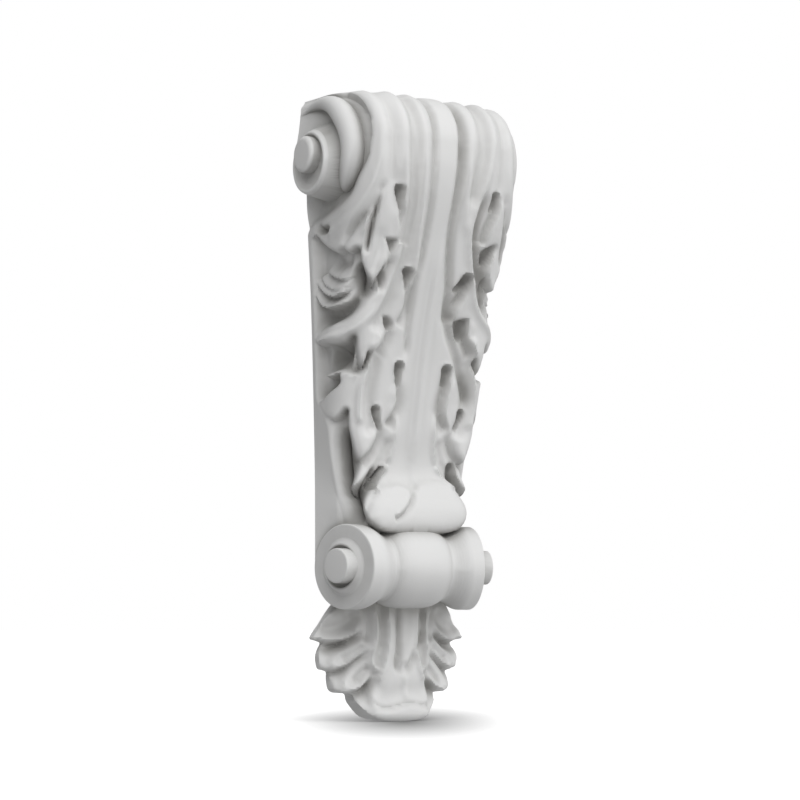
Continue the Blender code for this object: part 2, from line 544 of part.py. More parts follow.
def drop_outline():
    """Half outline of the hanging leaf, as drawn, from its stem to its tip."""
    lobes = [(30, -120), (38, -123), (44, -128.6), (50.8, -137.8), (57.2, -146.4), (53.5, -148.4),
             (49.6, -150), (51.6, -154), (53, -159.2), (51.6, -165.8), (48, -167.2), (45, -168.4),
             (44.9, -173), (43.6, -179), (40.4, -181.4), (35.5, -181.8), (31.2, -182.6), (30, -186.5),
             (27, -190.6), (19.6, -197.2), (9.6, -199.5), (0, -200)]
    return np.array(lobes, float)


# The hanging leaf's carving: line, height, half width, fading share at the ends
DROP_RIDGES = [
    ([(12, -120), (10.2, -141), (11, -154), (14.2, -167), (18.6, -175)], 1.7, 1.9, 0.10),
    ([(15.6, -120), (14.6, -140), (15.6, -155), (18, -167)], -2.2, 2.4, 0.10),
    ([(21.6, -120), (18.8, -138), (19, -148), (21.2, -155), (21.6, -163), (18.4, -170)], 1.7, 1.8, 0.08),
    ([(28, -122), (24.6, -134), (24, -142), (25.6, -150)], -2.6, 2.4, 0.12),
    ([(54, -140), (44, -140), (35, -136), (31, -126)], -2.6, 5.0, 0.20),
    ([(24, -140), (28.4, -148.4), (35.6, -153.2), (41.8, -156.6), (45.6, -160.8),
      (47, -166)], 2.0, 1.7, 0.12),
    ([(51, -155), (42, -152.4), (35, -148.6)], -1.6, 2.0, 0.20),
    ([(24.6, -151.4), (33, -157.6), (40.4, -162)], -2.2, 2.0, 0.20),
    ([(22, -157.4), (28.4, -162.2), (34.6, -167.4), (38.4, -173.6), (39.6, -180)], 1.8, 1.7, 0.12),
    ([(20.4, -164), (27.4, -169.6), (33, -176)], -2.4, 2.2, 0.20),
]
# Edges of its leaflets, in the same form as the large leaf's
DROP_EDGES = [
    ([(26.6, -138), (30, -143.4), (34.6, -146.6), (40.4, -149), (49, -149.4),
      (57.4, -146.4)], 1.0, 2.4, 4.4),
    ([(21.4, -152.6), (26, -156.4), (30.4, -159.6), (37.2, -164.6), (46.6, -167.6), (52.8, -165.6)],
     1.0, 2.2, 4.6),
    ([(18.2, -170.6), (24.2, -176), (29.4, -179.6), (38.8, -181.8), (44.2, -180.4)], 1.0, 2.0, 4.6),
    ([(17, -191), (21.2, -188.6), (22.6, -184), (21.8, -178.6), (18.4, -172.4),
      (15.6, -167)], 1.2, 0.8, 3.4),
]
# The fork in its middle leans, so it is drawn on both sides of the middle line
FORK = [([(-4.6, -120), (-3.6, -137), (-3.2, -148), (-3.6, -156), (-4.8, -164), (-2, -170.4)], -3.0, 1.7),
        ([(14, -120), (17.2, -136), (16.6, -144), (11.8, -153), (5, -164), (1, -171)], -2.2, 1.8),
        ([(8, -120), (6.6, -143), (3.4, -155), (0, -165)], 1.4, 3.2),
        ([(1.2, -170), (2.2, -186)], 0.9, 1.8)]
# Its tip is rolled over: the crease above the roll, and how much fuller the roll is
TIP_CREASE = [(-23, -184.6), (-19, -189.2), (-12.4, -191.4), (-3.6, -190), (4, -188.4), (12.8, -189.4),
              (22, -191)]


def drop_depth(x, z):
    """Depth of the hanging leaf's face at a place on the wall, as drawn."""
    q = np.abs(x)
    reach = np.clip(1.0 - (q / DROP_REACH) ** 2, 0.0, 1.0)
    depth = DROP_EDGE + (DROP_OUT - DROP_EDGE) * reach ** DROP_FULLNESS
    for line, height, width, ends in DROP_RIDGES:
        depth = depth + ridge(q, z, line, height, width, ends)
    for line, first, last, drop in DROP_EDGES:
        depth = depth + leaf_edge(q, z, line, first, last, drop)
    for line, height, width in FORK:
        depth = depth + ridge(x, z, line, height, width, 0.15)
    # Above the crease the tongue is hollow, below it the tip rolls over
    away, _ = to_line(x, z, through(TIP_CREASE))
    above = np.maximum(away, 0.0)
    below = np.maximum(-away, 0.0)
    on_tip = ease((TIP_HALF - q) / 7.0)
    hollow = TIP_HOLLOW * np.exp(-((above - 8.0) / 6.0) ** 2)
    hollow = hollow + TIP_CREASE_CUT * np.exp(-(away / 0.8) ** 2)
    depth = depth + on_tip * (TIP_OUT * rounded(below, 4.0) * (away < 0) - hollow)
    return depth - TIP_ROUND * (1.0 - rounded(z + DRAWN_HEIGHT / 2 + 0.6, TIP_ROUND)) * on_tip


def add_object(name, vertices, faces):
    """A new mesh object from points in millimetres."""
    mesh = bpy.data.meshes.new(name)
    mesh.from_pydata([tuple(float(c) * MM for c in vertex) for vertex in vertices], [], faces)
    mesh.validate()
    made = bpy.data.objects.new(name, mesh)
    bpy.context.scene.collection.objects.link(made)
    face_out(made)
    return made


def face_out(made):
    """Turn the faces of a closed mesh outwards."""
    work = bmesh.new()
    work.from_mesh(made.data)
    bmesh.ops.recalc_face_normals(work, faces=work.faces)
    if work.calc_volume(signed=True) < 0:
        bmesh.ops.reverse_faces(work, faces=work.faces)
    work.to_mesh(made.data)
    work.free()


def make_body():
    """The scroll with its leaf: the carved sheet, closed by stock above and behind it."""
    points = body_points()
    points = np.concatenate([points[:1] + np.array([0.0, 0.0, BEHIND]), points])
    rows, columns = points.shape[:2]
    vertices = points.reshape(-1, 3).tolist()
    faces = []
    for row in range(rows - 1):
        for column in range(columns - 1):
            first = row * columns + column
            faces.append([first, first + 1, first + columns + 1, first + columns])
    last = columns - 1
    behind = []
    for row in range(rows):
        pair = []
        for column in (0, last):
            x, _, z = points[row, column]
            pair.append(len(vertices))
            vertices.append([x, BEHIND, z])
        behind.append(pair)
    for row in range(rows - 1):
        faces.append([row * columns, (row + 1) * columns, behind[row + 1][0], behind[row][0]])
        faces.append([(row + 1) * columns + last, row * columns + last, behind[row][1], behind[row + 1][1]])
        faces.append([behind[row][0], behind[row + 1][0], behind[row + 1][1], behind[row][1]])
    faces.append(list(range(columns)) + [behind[0][1], behind[0][0]])
    foot = (rows - 1) * columns
    faces.append([foot + column for column in range(columns - 1, -1, -1)] + [behind[-1][0], behind[-1][1]])
    return thinned(add_object("body", vertices, faces), BODY_FACES)


def make_drop():
    """The hanging leaf: a carved block cut to the leaf's outline."""
    half = through(drop_outline(), 3)
    outline = np.vstack([half, half[::-1][1:] * np.array([-1.0, 1.0])])
    columns = int(124.0 / FACET)
    rows = int(92.0 / FACET)
    x, z = np.meshgrid(np.linspace(-62.0, 62.0, columns), np.linspace(DROP_TOP, -204.0, rows))
    depth = drop_depth(x, z)
    edge = inside(x, z, outline)
    depth = np.maximum(depth, 2.5) - DROP_EDGE * 0.3 * (1.0 - rounded(edge + 0.4, 1.8))
    points = np.stack([x * ACROSS, -depth * OUT, z * UP], axis=-1)
    vertices = points.reshape(-1, 3).tolist()
    faces = []
    for row in range(rows - 1):
        for column in range(columns - 1):
            first = row * columns + column
            faces.append([first, first + 1, first + columns + 1, first + columns])
    rim = [column for column in range(columns - 1)]
    rim += [row * columns + columns - 1 for row in range(rows - 1)]
    rim += [(rows - 1) * columns + column for column in range(columns - 1, 0, -1)]
    rim += [row * columns for row in range(rows - 1, 0, -1)]
    rear = []
    for spot in rim:
        rear.append(len(vertices))
        vertices.append([vertices[spot][0], BEHIND, vertices[spot][2]])
    count = len(rim)
    for number in range(count):
        after = (number + 1) % count
        faces.append([rim[after], rim[number], rear[number], rear[after]])
    faces.append(rear)
    block = thinned(add_object("drop", vertices, faces), DROP_FACES)
    flat = outline * np.array([ACROSS, UP])
    count = len(flat)
    vertices = [[x, -PROJECTION, z] for x, z in flat] + [[x, 2 * BEHIND, z] for x, z in flat]
    faces = [list(range(count)), list(range(2 * count - 1, count - 1, -1))]
    for number in range(count):
        after = (number + 1) % count
        faces.append([number, number + count, after + count, after])
    cutter = add_object("leaf outline", vertices, faces)
    return combine(block, [cutter], "INTERSECT")


def turned(name, profile, centre, sides, splay=0.0):
    """A form turned about the X axis from (x, radius) pairs, from its -X end to its +X end."""
    turn_x, turn_y, turn_z = centre
    vertices = []
    faces = []
    rings = []
    slant = math.tan(math.radians(splay))
    widest = max(abs(x) for x, _ in profile)
    for x, radius in profile:
        if radius == 0.0:
            rings.append([len(vertices)])
            vertices.append([turn_x + x, turn_y, turn_z])
            continue
        ring = []
        for number in range(sides):
            angle = 2 * math.pi * (number + 0.5) / sides
            y = radius * math.cos(angle)
            lean = slant * y * x / widest
            ring.append(len(vertices))
            vertices.append([turn_x + x + lean, turn_y + y, turn_z + radius * math.sin(angle)])
        rings.append(ring)
    for ring, following in zip(rings[:-1], rings[1:]):
        for number in range(sides):
            after = (number + 1) % sides
            if len(ring) == 1:
                faces.append([ring[0], following[after], following[number]])
            elif len(following) == 1:
                faces.append([ring[number], ring[after], following[0]])
            else:
                faces.append([ring[number], ring[after], following[after], following[number]])
    return add_object(name, vertices, faces)


def make_roll():
    """The turned roll: rims and buttons at its ends, waists, and a barrel in the middle."""
    face = ROLL_WIDTH / 2
    rim_inner = face - RIM_WIDTH
    waist = WAIST_WIDTH / 2
    half = [(face - 0.4, 0.0), (face - 0.4, RING_RADIUS - 4.6), (face + RING_OUT, RING_RADIUS - 3.2),
            (face + RING_OUT, RING_RADIUS - 2.0), (face, RING_RADIUS + 1.0), (face, ROLL_RADIUS - 1.0),
            (face - 1.0, ROLL_RADIUS), (rim_inner, ROLL_RADIUS)]
    steps = 4
    for number in range(1, steps + 1):
        share = number / steps
        x = rim_inner + (waist - rim_inner) * share
        half.append((x, ROLL_RADIUS + (WAIST_RADIUS - ROLL_RADIUS) * ease(share)))
    steps = 6
    for number in range(1, steps + 1):
        share = 1.0 - number / steps
        half.append((waist * share, WAIST_RADIUS + (BARREL_RADIUS - WAIST_RADIUS) * (1.0 - share ** 3.4)))
    profile = [(-x, radius) for x, radius in half] + half[-2::-1]
    forms = [turned("roll", profile, (0.0, -ROLL_RADIUS, ROLL_LEVEL * UP), 26, END_SPLAY)]
    # A button stands on each splayed face, a little forward of the axis
    splay = math.radians(END_SPLAY)
    for side in (-1, 1):
        button = [(-SUNK, 0.0), (-SUNK, BUTTON_RADIUS), (BUTTON_OUT - 1.0, BUTTON_RADIUS),
                  (BUTTON_OUT, BUTTON_RADIUS - 1.0), (BUTTON_OUT, 0.0)]
        made = turned("button", button, (0.0, 0.0, 0.0), 20)
        turn = Matrix.Rotation(-splay if side > 0 else math.pi + splay, 4, "Z")
        place = Vector((side * (face - BUTTON_FORWARD * math.sin(splay)),
                        -ROLL_RADIUS - BUTTON_FORWARD * math.cos(splay),
                        ROLL_LEVEL * UP + BUTTON_LIFT)) * MM
        made.data.transform(Matrix.Translation(place) @ turn)
        forms.append(made)
    return forms


def make_volute(side):
    """Ring and eye at the middle of a volute; side is -1 or 1."""
    inner = TOP_WIDTH / 2 - SUNK
    face = VOLUTE_RING_FACE
    radius = VOLUTE_RING_RADIUS
    # The ring's face is dished inside its rim
    dish = face - VOLUTE_RING_DISH
    ring = [(inner, 0.0), (inner, radius + VOLUTE_RING_FLARE), (face - 2.0, radius), (face, radius - 1.2),
            (face, radius - 2.8), (dish + VOLUTE_RING_DISH * 0.2, radius - 5.4), (dish, 0.0)]
    eye = [(inner, 0.0), (inner, VOLUTE_EYE_RADIUS), (VOLUTE_EYE_FACE - 1.6, VOLUTE_EYE_RADIUS),
           (VOLUTE_EYE_FACE, VOLUTE_EYE_RADIUS - 1.8), (VOLUTE_EYE_FACE, 0.0)]
    level = VOLUTE_LEVEL * UP
    made = []
    turnings = (("ring", ring, -VOLUTE_RING_DROP, 28), ("eye", eye, VOLUTE_EYE_LIFT, 24))
    for name, profile, lift, sides in turnings:
        if side < 0:
            profile = [(-x, radius) for x, radius in profile[::-1]]
        made.append(turned(name, profile, (0.0, -VOLUTE_OUT, level + lift), sides))
    # The ring's foot sits higher than its face
    for vertex in made[0].data.vertices:
        foot = (face - abs(vertex.co.x) / MM) / (face - inner)
        vertex.co.z += VOLUTE_RING_LEAN * MM * foot
    return made


def make_bead(side):
    """The tapering bead that winds over the volute's field, as a tube with closed ends."""
    steps = 16
    sides = 8
    vertices = []
    faces = []
    for step in range(steps + 1):
        share = step / steps
        degrees = BEAD_START - BEAD_SWEEP * share
        angle = math.radians(degrees)
        turn = BEAD_TURN + BEAD_SPREAD * (1.0 - share) ** 1.2
        grow = ease(share * 2.0 + 0.05)
        radius = BEAD_THIN + (BEAD_RADIUS - BEAD_THIN) * grow
        radius *= math.sqrt(max(1.0 - max((share - 0.74) / 0.26, 0.0) ** 1.6, 0.02))
        out = VOLUTE_OUT + turn * math.cos(angle)
        level = VOLUTE_LEVEL * UP + turn * math.sin(angle)
        field = BEAD_CLIMB * ease((degrees + 20.0) / 250.0) - FIELD_DROP
        field_face = TOP_WIDTH / 2 - BEAD_SUNK + field
        for number in range(sides):
            bend = 2 * math.pi * number / sides
            reach = radius * math.cos(bend)
            rise = BEAD_CROWN * radius if bend < math.pi else -BEAD_ROOT
            flank = BEAD_FLANK * radius
            x = side * (field_face + flank + (rise - flank) * abs(math.sin(bend)))
            vertices.append([x, -(out + reach * math.cos(angle)), level + reach * math.sin(angle)])
    for step in range(steps):
        for number in range(sides):
            after = (number + 1) % sides
            first = step * sides
            faces.append([first + number, first + after, first + sides + after, first + sides + number])
    faces.append(list(range(sides - 1, -1, -1)))
    faces.append([steps * sides + number for number in range(sides)])
    return add_object("bead", vertices, faces)


def applied(made):
    """Give the object the mesh that its modifiers make, and drop the modifiers."""
    bpy.context.view_layer.update()
    shown = made.evaluated_get(bpy.context.evaluated_depsgraph_get())
    mesh = bpy.data.meshes.new_from_object(shown)
    made.modifiers.clear()
    made.data = mesh
    return made


def thinned(made, count):
    """Thin a mesh to a number of triangles, keeping them where the form turns."""
    made.data.calc_loop_triangles()
    triangles = len(made.data.loop_triangles)
    thin = made.modifiers.new("thin", "DECIMATE")
    thin.ratio = min(1.0, count / triangles)
    thin.use_collapse_triangulate = True
    return applied(made)


def combine(made, others, operation):
    """Join to, cut from or keep in common with the others, which are used up."""
    for other in others:
        join = made.modifiers.new(operation.lower(), "BOOLEAN")
        join.operation = operation
        join.solver = "EXACT"
        join.object = other
    applied(made)
    for other in others:
        bpy.data.objects.remove(other)
    return made


def make_saw_block():
    """All the space in front of the wall and under the shelf."""
    wide = TOP_WIDTH * 2
    low = -HEIGHT
    vertices = []
    for x in (-wide, wide):
        for y in (-PROJECTION * 2, 0.0):
            for z in (low, TOP):
                vertices.append([x, y, z])
    faces = [[0, 1, 3, 2], [4, 6, 7, 5], [0, 4, 5, 1], [2, 3, 7, 6], [0, 2, 6, 4], [1, 5, 7, 3]]
    return add_object("room", vertices, faces)


def plaster():
    """White cast plaster."""
    material = bpy.data.materials.new("cast plaster")
    material.use_nodes = True
    shader = material.node_tree.nodes["Principled BSDF"]
    shader.inputs["Base Color"].default_value = (0.78, 0.78, 0.77, 1.0)
    shader.inputs["Roughness"].default_value = 0.65
    shader.inputs["Metallic"].default_value = 0.0
    return material


def make_corbel():
    """All the forms joined into one solid, cut off flat at the wall and the top."""
    corbel = make_body()
    forms = [make_drop()] + make_roll()
    for side in (-1, 1):
        forms += make_volute(side)
        forms.append(make_bead(side))
    combine(corbel, forms, "UNION")
    combine(corbel, [make_saw_block()], "INTERSECT")
    corbel.name = "corbel"
    corbel.data.name = "corbel"
    corbel.data.materials.clear()
    corbel.data.materials.append(plaster())
    corbel.data.shade_smooth()
    corbel.data.set_sharp_from_angle(angle=math.radians(38))
    return corbel


def main():
    for old in list(bpy.data.objects):
        bpy.data.objects.remove(old)
    make_corbel()


main()
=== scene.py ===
"""A carved acanthus corbel cast in white plaster: its finished surface, its plaster and its studio.

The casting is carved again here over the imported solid, with the same forms and sizes
but with a fine surface.  Lengths in the drawings are millimetres; the wall is the
plane y = 0 and the front looks towards -Y.
"""

import json
import math

import bmesh
import bpy
import numpy as np
from mathutils import Matrix, Vector
from mathutils.bvhtree import BVHTree

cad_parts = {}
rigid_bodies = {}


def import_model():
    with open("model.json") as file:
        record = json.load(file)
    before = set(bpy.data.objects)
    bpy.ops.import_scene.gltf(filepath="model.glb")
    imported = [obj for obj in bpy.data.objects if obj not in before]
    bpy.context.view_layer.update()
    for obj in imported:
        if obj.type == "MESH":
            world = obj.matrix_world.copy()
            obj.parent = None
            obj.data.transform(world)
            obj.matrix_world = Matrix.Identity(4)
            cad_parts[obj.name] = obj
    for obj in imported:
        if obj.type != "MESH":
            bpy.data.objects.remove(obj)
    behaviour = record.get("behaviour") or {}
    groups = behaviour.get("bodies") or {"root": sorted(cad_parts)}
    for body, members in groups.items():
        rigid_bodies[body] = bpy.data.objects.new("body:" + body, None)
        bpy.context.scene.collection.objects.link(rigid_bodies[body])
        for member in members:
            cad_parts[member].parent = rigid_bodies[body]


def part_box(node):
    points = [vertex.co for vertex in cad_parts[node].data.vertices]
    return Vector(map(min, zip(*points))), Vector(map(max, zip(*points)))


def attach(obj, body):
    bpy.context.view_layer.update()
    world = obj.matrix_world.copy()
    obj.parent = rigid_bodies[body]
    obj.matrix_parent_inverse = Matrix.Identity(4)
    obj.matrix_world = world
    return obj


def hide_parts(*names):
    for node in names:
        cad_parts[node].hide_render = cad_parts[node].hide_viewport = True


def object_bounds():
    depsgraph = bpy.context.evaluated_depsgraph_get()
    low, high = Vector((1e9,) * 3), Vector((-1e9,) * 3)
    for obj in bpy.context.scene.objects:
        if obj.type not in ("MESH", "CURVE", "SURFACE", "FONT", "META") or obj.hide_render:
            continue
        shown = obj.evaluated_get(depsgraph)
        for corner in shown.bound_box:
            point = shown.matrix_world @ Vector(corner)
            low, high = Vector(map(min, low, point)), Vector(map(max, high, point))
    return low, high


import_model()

bl_info = {
    "name": "Acanthus corbel",
    "version": (1, 0, 0),
    "blender": (4, 5, 0),
    "location": "View3D > Sidebar > Corbel",
    "description": "Carves a cast plaster corbel with its volutes, roll and hanging leaf",
    "category": "Object",
}

MM = 0.001
SOLID_LOW, SOLID_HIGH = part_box("corbel")
CAD_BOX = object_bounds()


# Sizes and colours that a user would change

class CorbelScroll(bpy.types.PropertyGroup):
    """The scroll: the block with the large leaf."""
    height: bpy.props.FloatProperty(
        name="Height", description="From the flat top to the tip of the hanging leaf",
        default=SOLID_HIGH.z - SOLID_LOW.z, min=0.1, unit="LENGTH")
    top_width: bpy.props.FloatProperty(
        name="Top width", description="Across the back at the top", default=0.124, min=0.02, unit="LENGTH")
    low_width: bpy.props.FloatProperty(
        name="Low width", description="Across the back at the roll", default=0.106, min=0.02, unit="LENGTH")
    projection: bpy.props.FloatProperty(
        name="Projection", description="From the wall to the nose of the scroll",
        default=0.078, min=0.02, unit="LENGTH")
    nose_radius: bpy.props.FloatProperty(
        name="Nose radius", description="Rounding of the nose, seen from the side",
        default=0.033, min=0.005, unit="LENGTH")
    relief: bpy.props.FloatProperty(
        name="Relief", description="From the leaf down to the ground behind its lobes",
        default=0.007, min=0.001, unit="LENGTH")
    eye_depth: bpy.props.FloatProperty(
        name="Eye depth", description="Depth of the drilled eyes between the lobes",
        default=0.008, min=0.001, unit="LENGTH")
    lip_out: bpy.props.FloatProperty(
        name="Lip", description="How far the curled lip stands in front of the leaf",
        default=0.004, min=0.0, unit="LENGTH")
    spacing: bpy.props.FloatProperty(
        name="Surface spacing", description="Distance between the points of the carved surface",
        default=0.00128, min=0.0008, unit="LENGTH")


class CorbelVolute(bpy.types.PropertyGroup):
    """The volute on each side of the scroll."""
    out: bpy.props.FloatProperty(
        name="Out", description="Centre of the volute, out from the wall", default=0.0245, unit="LENGTH")
    level: bpy.props.FloatProperty(
        name="Level", description="Height of its centre", default=0.156, unit="LENGTH")
    ring_radius: bpy.props.FloatProperty(
        name="Ring radius", description="Radius of the ring", default=0.0206, unit="LENGTH")
    ring_drop: bpy.props.FloatProperty(
        name="Ring drop", description="How much the ring's centre sits below the volute's", default=0.0015,
        unit="LENGTH")
    ring_lean: bpy.props.FloatProperty(
        name="Ring lean", description="How much higher the ring's foot sits than its face", default=0.004,
        unit="LENGTH")
    ring_face: bpy.props.FloatProperty(
        name="Ring face", description="From the middle plane to the ring's face", default=0.074,
        unit="LENGTH")
    eye_radius: bpy.props.FloatProperty(
        name="Eye radius", description="Radius of the eye", default=0.0117, unit="LENGTH")
    eye_face: bpy.props.FloatProperty(
        name="Eye face", description="From the middle plane to the eye's face",
        default=SOLID_HIGH.x, unit="LENGTH")
    eye_lift: bpy.props.FloatProperty(
        name="Eye lift", description="How much the eye sits above the ring's centre",
        default=0.0035, unit="LENGTH")
    field_drop: bpy.props.FloatProperty(
        name="Field drop", description="How much the field lies behind the side at the front",
        default=0.0045, unit="LENGTH")
    field_climb: bpy.props.FloatProperty(
        name="Field climb", description="How much the field climbs outwards on its way to the wall",
        default=0.016, unit="LENGTH")
    bead_radius: bpy.props.FloatProperty(
        name="Bead radius", description="Thick end of the bead that winds round the eye",
        default=0.0080, unit="LENGTH")
    bead_climb: bpy.props.FloatProperty(
        name="Bead climb", description="How much the bead climbs outwards on its way to the wall",
        default=0.0135, unit="LENGTH")
    bead_turn: bpy.props.FloatProperty(
        name="Bead turn", description="Radius of the bead's turn at its lower end", default=0.0255,
        unit="LENGTH")
    bead_spread: bpy.props.FloatProperty(
        name="Bead spread", description="How much wider it turns at its start", default=0.0165, unit="LENGTH")


class CorbelRoll(bpy.types.PropertyGroup):
    """The turned roll under the leaf."""
    level: bpy.props.FloatProperty(
        name="Level", description="Height of the roll's axis", default=-0.1018, unit="LENGTH")
    radius: bpy.props.FloatProperty(
        name="Radius", description="Radius of its rims", default=0.027, unit="LENGTH")
    width: bpy.props.FloatProperty(
        name="Width", description="Over the two end faces, at the axis", default=0.096, unit="LENGTH")
    rim_width: bpy.props.FloatProperty(
        name="Rim width", description="Width of each rim", default=0.0088, unit="LENGTH")
    waist_radius: bpy.props.FloatProperty(
        name="Waist radius", description="Radius of the two waists", default=0.0212, unit="LENGTH")
    waist_width: bpy.props.FloatProperty(
        name="Waist width", description="Between the two waists", default=0.046, unit="LENGTH")
    barrel_radius: bpy.props.FloatProperty(
        name="Barrel radius", description="Radius of the barrel in the middle", default=0.0262, unit="LENGTH")
    end_splay: bpy.props.FloatProperty(
        name="End splay", description="How much the end faces turn towards the front",
        default=math.radians(13.0), subtype="ANGLE")
    ring_radius: bpy.props.FloatProperty(
        name="Ring radius", description="Ring round each button", default=0.0167, unit="LENGTH")
    ring_out: bpy.props.FloatProperty(
        name="Ring out", description="How far the ring stands out of the face", default=0.003, unit="LENGTH")
    button_radius: bpy.props.FloatProperty(
        name="Button radius", description="Radius of the buttons", default=0.011, unit="LENGTH")
    button_out: bpy.props.FloatProperty(
        name="Button out", description="How far the buttons stand out", default=0.0113, unit="LENGTH")
    button_forward: bpy.props.FloatProperty(
        name="Button forward", description="How much the button sits in front of the axis",
        default=0.004, unit="LENGTH")
    button_lift: bpy.props.FloatProperty(
        name="Button lift", description="How much it sits above the axis", default=0.0004, unit="LENGTH")


class CorbelHangingLeaf(bpy.types.PropertyGroup):
    """The small leaf that hangs under the roll."""
    out: bpy.props.FloatProperty(
        name="Depth", description="Depth of the leaf at its middle", default=0.022, unit="LENGTH")
    edge: bpy.props.FloatProperty(
        name="Edge depth", description="Depth of the leaf at its lobes", default=0.006, unit="LENGTH")
    top: bpy.props.FloatProperty(
        name="Top", description="Where it goes up into the roll", default=-0.112, unit="LENGTH")
    tip_out: bpy.props.FloatProperty(
        name="Tip crest", description="How far the crest of its curled tip stands out",
        default=0.0022, unit="LENGTH")


class CorbelPlaster(bpy.types.PropertyGroup):
    """The cast plaster."""
    colour: bpy.props.FloatVectorProperty(
        name="Plaster", description="Colour of the bare plaster", default=(0.76, 0.76, 0.755),
        subtype="COLOR", min=0.0, max=1.0)
    # Painted shade: the darker colour laid in the recesses and creases, where shade falls, and how much of it
    # shows in the deepest ones
    painted_shade: bpy.props.FloatVectorProperty(
        name="Painted shade", description="Colour of the dust that gathers in the recesses",
        default=(0.38, 0.375, 0.36), subtype="COLOR", min=0.0, max=1.0)
    painted_shade_amount: bpy.props.FloatProperty(
        name="Dust amount", description="How much of the dust shows in the deepest recesses",
        default=0.9, min=0.0, max=1.0, subtype="FACTOR")
    mottle: bpy.props.FloatProperty(
        name="Mottle", description="How much the plaster's tone changes from place to place",
        default=0.05, min=0.0, max=1.0, subtype="FACTOR")
    grain: bpy.props.FloatProperty(
        name="Grain", description="Depth of the fine grain of the cast surface",
        default=0.00012, min=0.0, unit="LENGTH")
    roughness: bpy.props.FloatProperty(
        name="Roughness", description="Roughness of the bare plaster", default=0.62, min=0.0, max=1.0,
        subtype="FACTOR")


class CorbelStudio(bpy.types.PropertyGroup):
    """Floor, lights and camera."""
    floor_width: bpy.props.FloatProperty(
        name="Floor width", description="Width of the pale floor", default=16.0, unit="LENGTH")
    azimuth: bpy.props.FloatProperty(
        name="Camera turn", description="How far round to the left of the front the camera stands",
        default=math.radians(32.9), subtype="ANGLE")
    distance: bpy.props.FloatProperty(
        name="Camera distance", description="Distance from the corbel's middle plane", default=1.43,
        unit="LENGTH")
    aside: bpy.props.FloatProperty(
        name="Camera aside", description="How far the camera stands to its own right", default=0.0098,
        unit="LENGTH")
    camera_level: bpy.props.FloatProperty(
        name="Camera level", description="Height of the camera", default=-0.1319, unit="LENGTH")
    pitch: bpy.props.FloatProperty(
        name="Camera pitch", description="How far the camera looks up", default=math.radians(5.61),
        subtype="ANGLE")
    focal: bpy.props.FloatProperty(
        name="Focal length", description="Focal length in picture heights", default=2185.0 / 800.0)
    key: bpy.props.FloatProperty(
        name="Key light", description="Strength of the broad light from the upper front", default=0.9,
        min=0.0)
    key_width: bpy.props.FloatProperty(
        name="Key light width", description="How broad the key light is, which softens its shadows",
        default=math.radians(50.0), subtype="ANGLE")
    fill: bpy.props.FloatProperty(
        name="Fill lights", description="Strength of the very broad lights that fill the shadows",
        default=1.0, min=0.0)
    fill_width: bpy.props.FloatProperty(
        name="Fill lights' width", description="How broad each fill light is", default=math.radians(80.0),
        subtype="ANGLE")
    ambient: bpy.props.FloatProperty(
        name="Room light", description="Even light from the white room", default=0.22, min=0.0)
    lamp: bpy.props.FloatProperty(
        name="Lamp", description="Watts of the soft lamp near the left volute", default=1.5, min=0.0)
    lamp_size: bpy.props.FloatProperty(
        name="Lamp size", description="Width of the soft lamp", default=0.5, min=0.01, unit="LENGTH")
    # The floor's shadow round the leaf's tip is painted into its colour and glow; this is how far it reaches
    painted_shadow_reach: bpy.props.FloatProperty(
        name="Contact shade", description="How far the floor is shaded round the leaf's tip", default=0.08,
        min=0.01, unit="LENGTH")
    floor_glow: bpy.props.FloatProperty(
        name="Floor glow", description="How bright the floor stays in the shadows", default=0.70, min=0.0)


# The drawings

DRAWN_HEIGHT = 400.0
DRAWN_WIDTH = 124.0
DRAWN_PROJECTION = 78.0
BEHIND = 4.0            # stock left behind the wall plane and above the top, cut off flat
SUNK = 12.0             # how far one form runs inside the next

# The block that the leaf is carved on

# Depth of the leaf's middle line against its height, as drawn
MIDDLE_LINE = [(-120, 34), (-90, 34), (-83, 36.5), (-75, 38.5), (-66, 38), (-58, 35.5), (-50, 32.5),
               (-41, 31), (-14, 35.5), (6, 39.5), (28, 44), (50, 49.5), (85, 60), (102, 65), (122, 71),
               (140, 75.5), (155, 77.6), (167, 78)]
# Half width of the leaf against its height, as drawn
LEAF_HALF = [(-120, 44), (-84, 44), (-58, 47), (-30, 52), (8, 56), (60, 59), (100, 60), (219, 60)]
# Radius of the corner between front and side, as drawn
CORNER = [(-120, 15), (0, 18), (100, 22), (219, 23)]
# Share of the way from the low width to the top width against the height, as drawn
WIDENING = [(-120, 0.0), (-60, 0.03), (8, 0.2), (70, 0.44), (127, 0.78), (200, 1.0)]
CORNER_DEPTH = 1.15     # the corner is this much deeper than wide
CORNER_LIMIT = 0.55     # but never more than this share of the depth
FAN_FROM = 110.0        # above this height the rows fan out, as the nose is longer than the wall
FRONT_RUN = 38.0        # about how long the front, the corner and the side of the section are,
CORNER_RUN = 32.0       # which sets the number of points on each
SIDE_RUN = 40.0
SIDE_CROWD = 1.15       # the side's points stand closer towards the corner


# The carving, as drawn: across is measured round the section from the middle line,
# up is measured along the front from mid height

# Half outline of the front sheet of the leaf
SHEET = [(-10, 230), (52, 230), (57.5, 170), (59, 150), (55, 130), (50, 115), (44, 100), (40, 85), (38, 72),
         (42, 60), (46, 50), (41, 35), (38, 20), (37, 5), (35, -10), (31, -25), (29, -38), (31, -48),
         (38, -56), (41, -64), (39.5, -70), (35.5, -76), (29, -80), (15, -82), (-10, -82)]
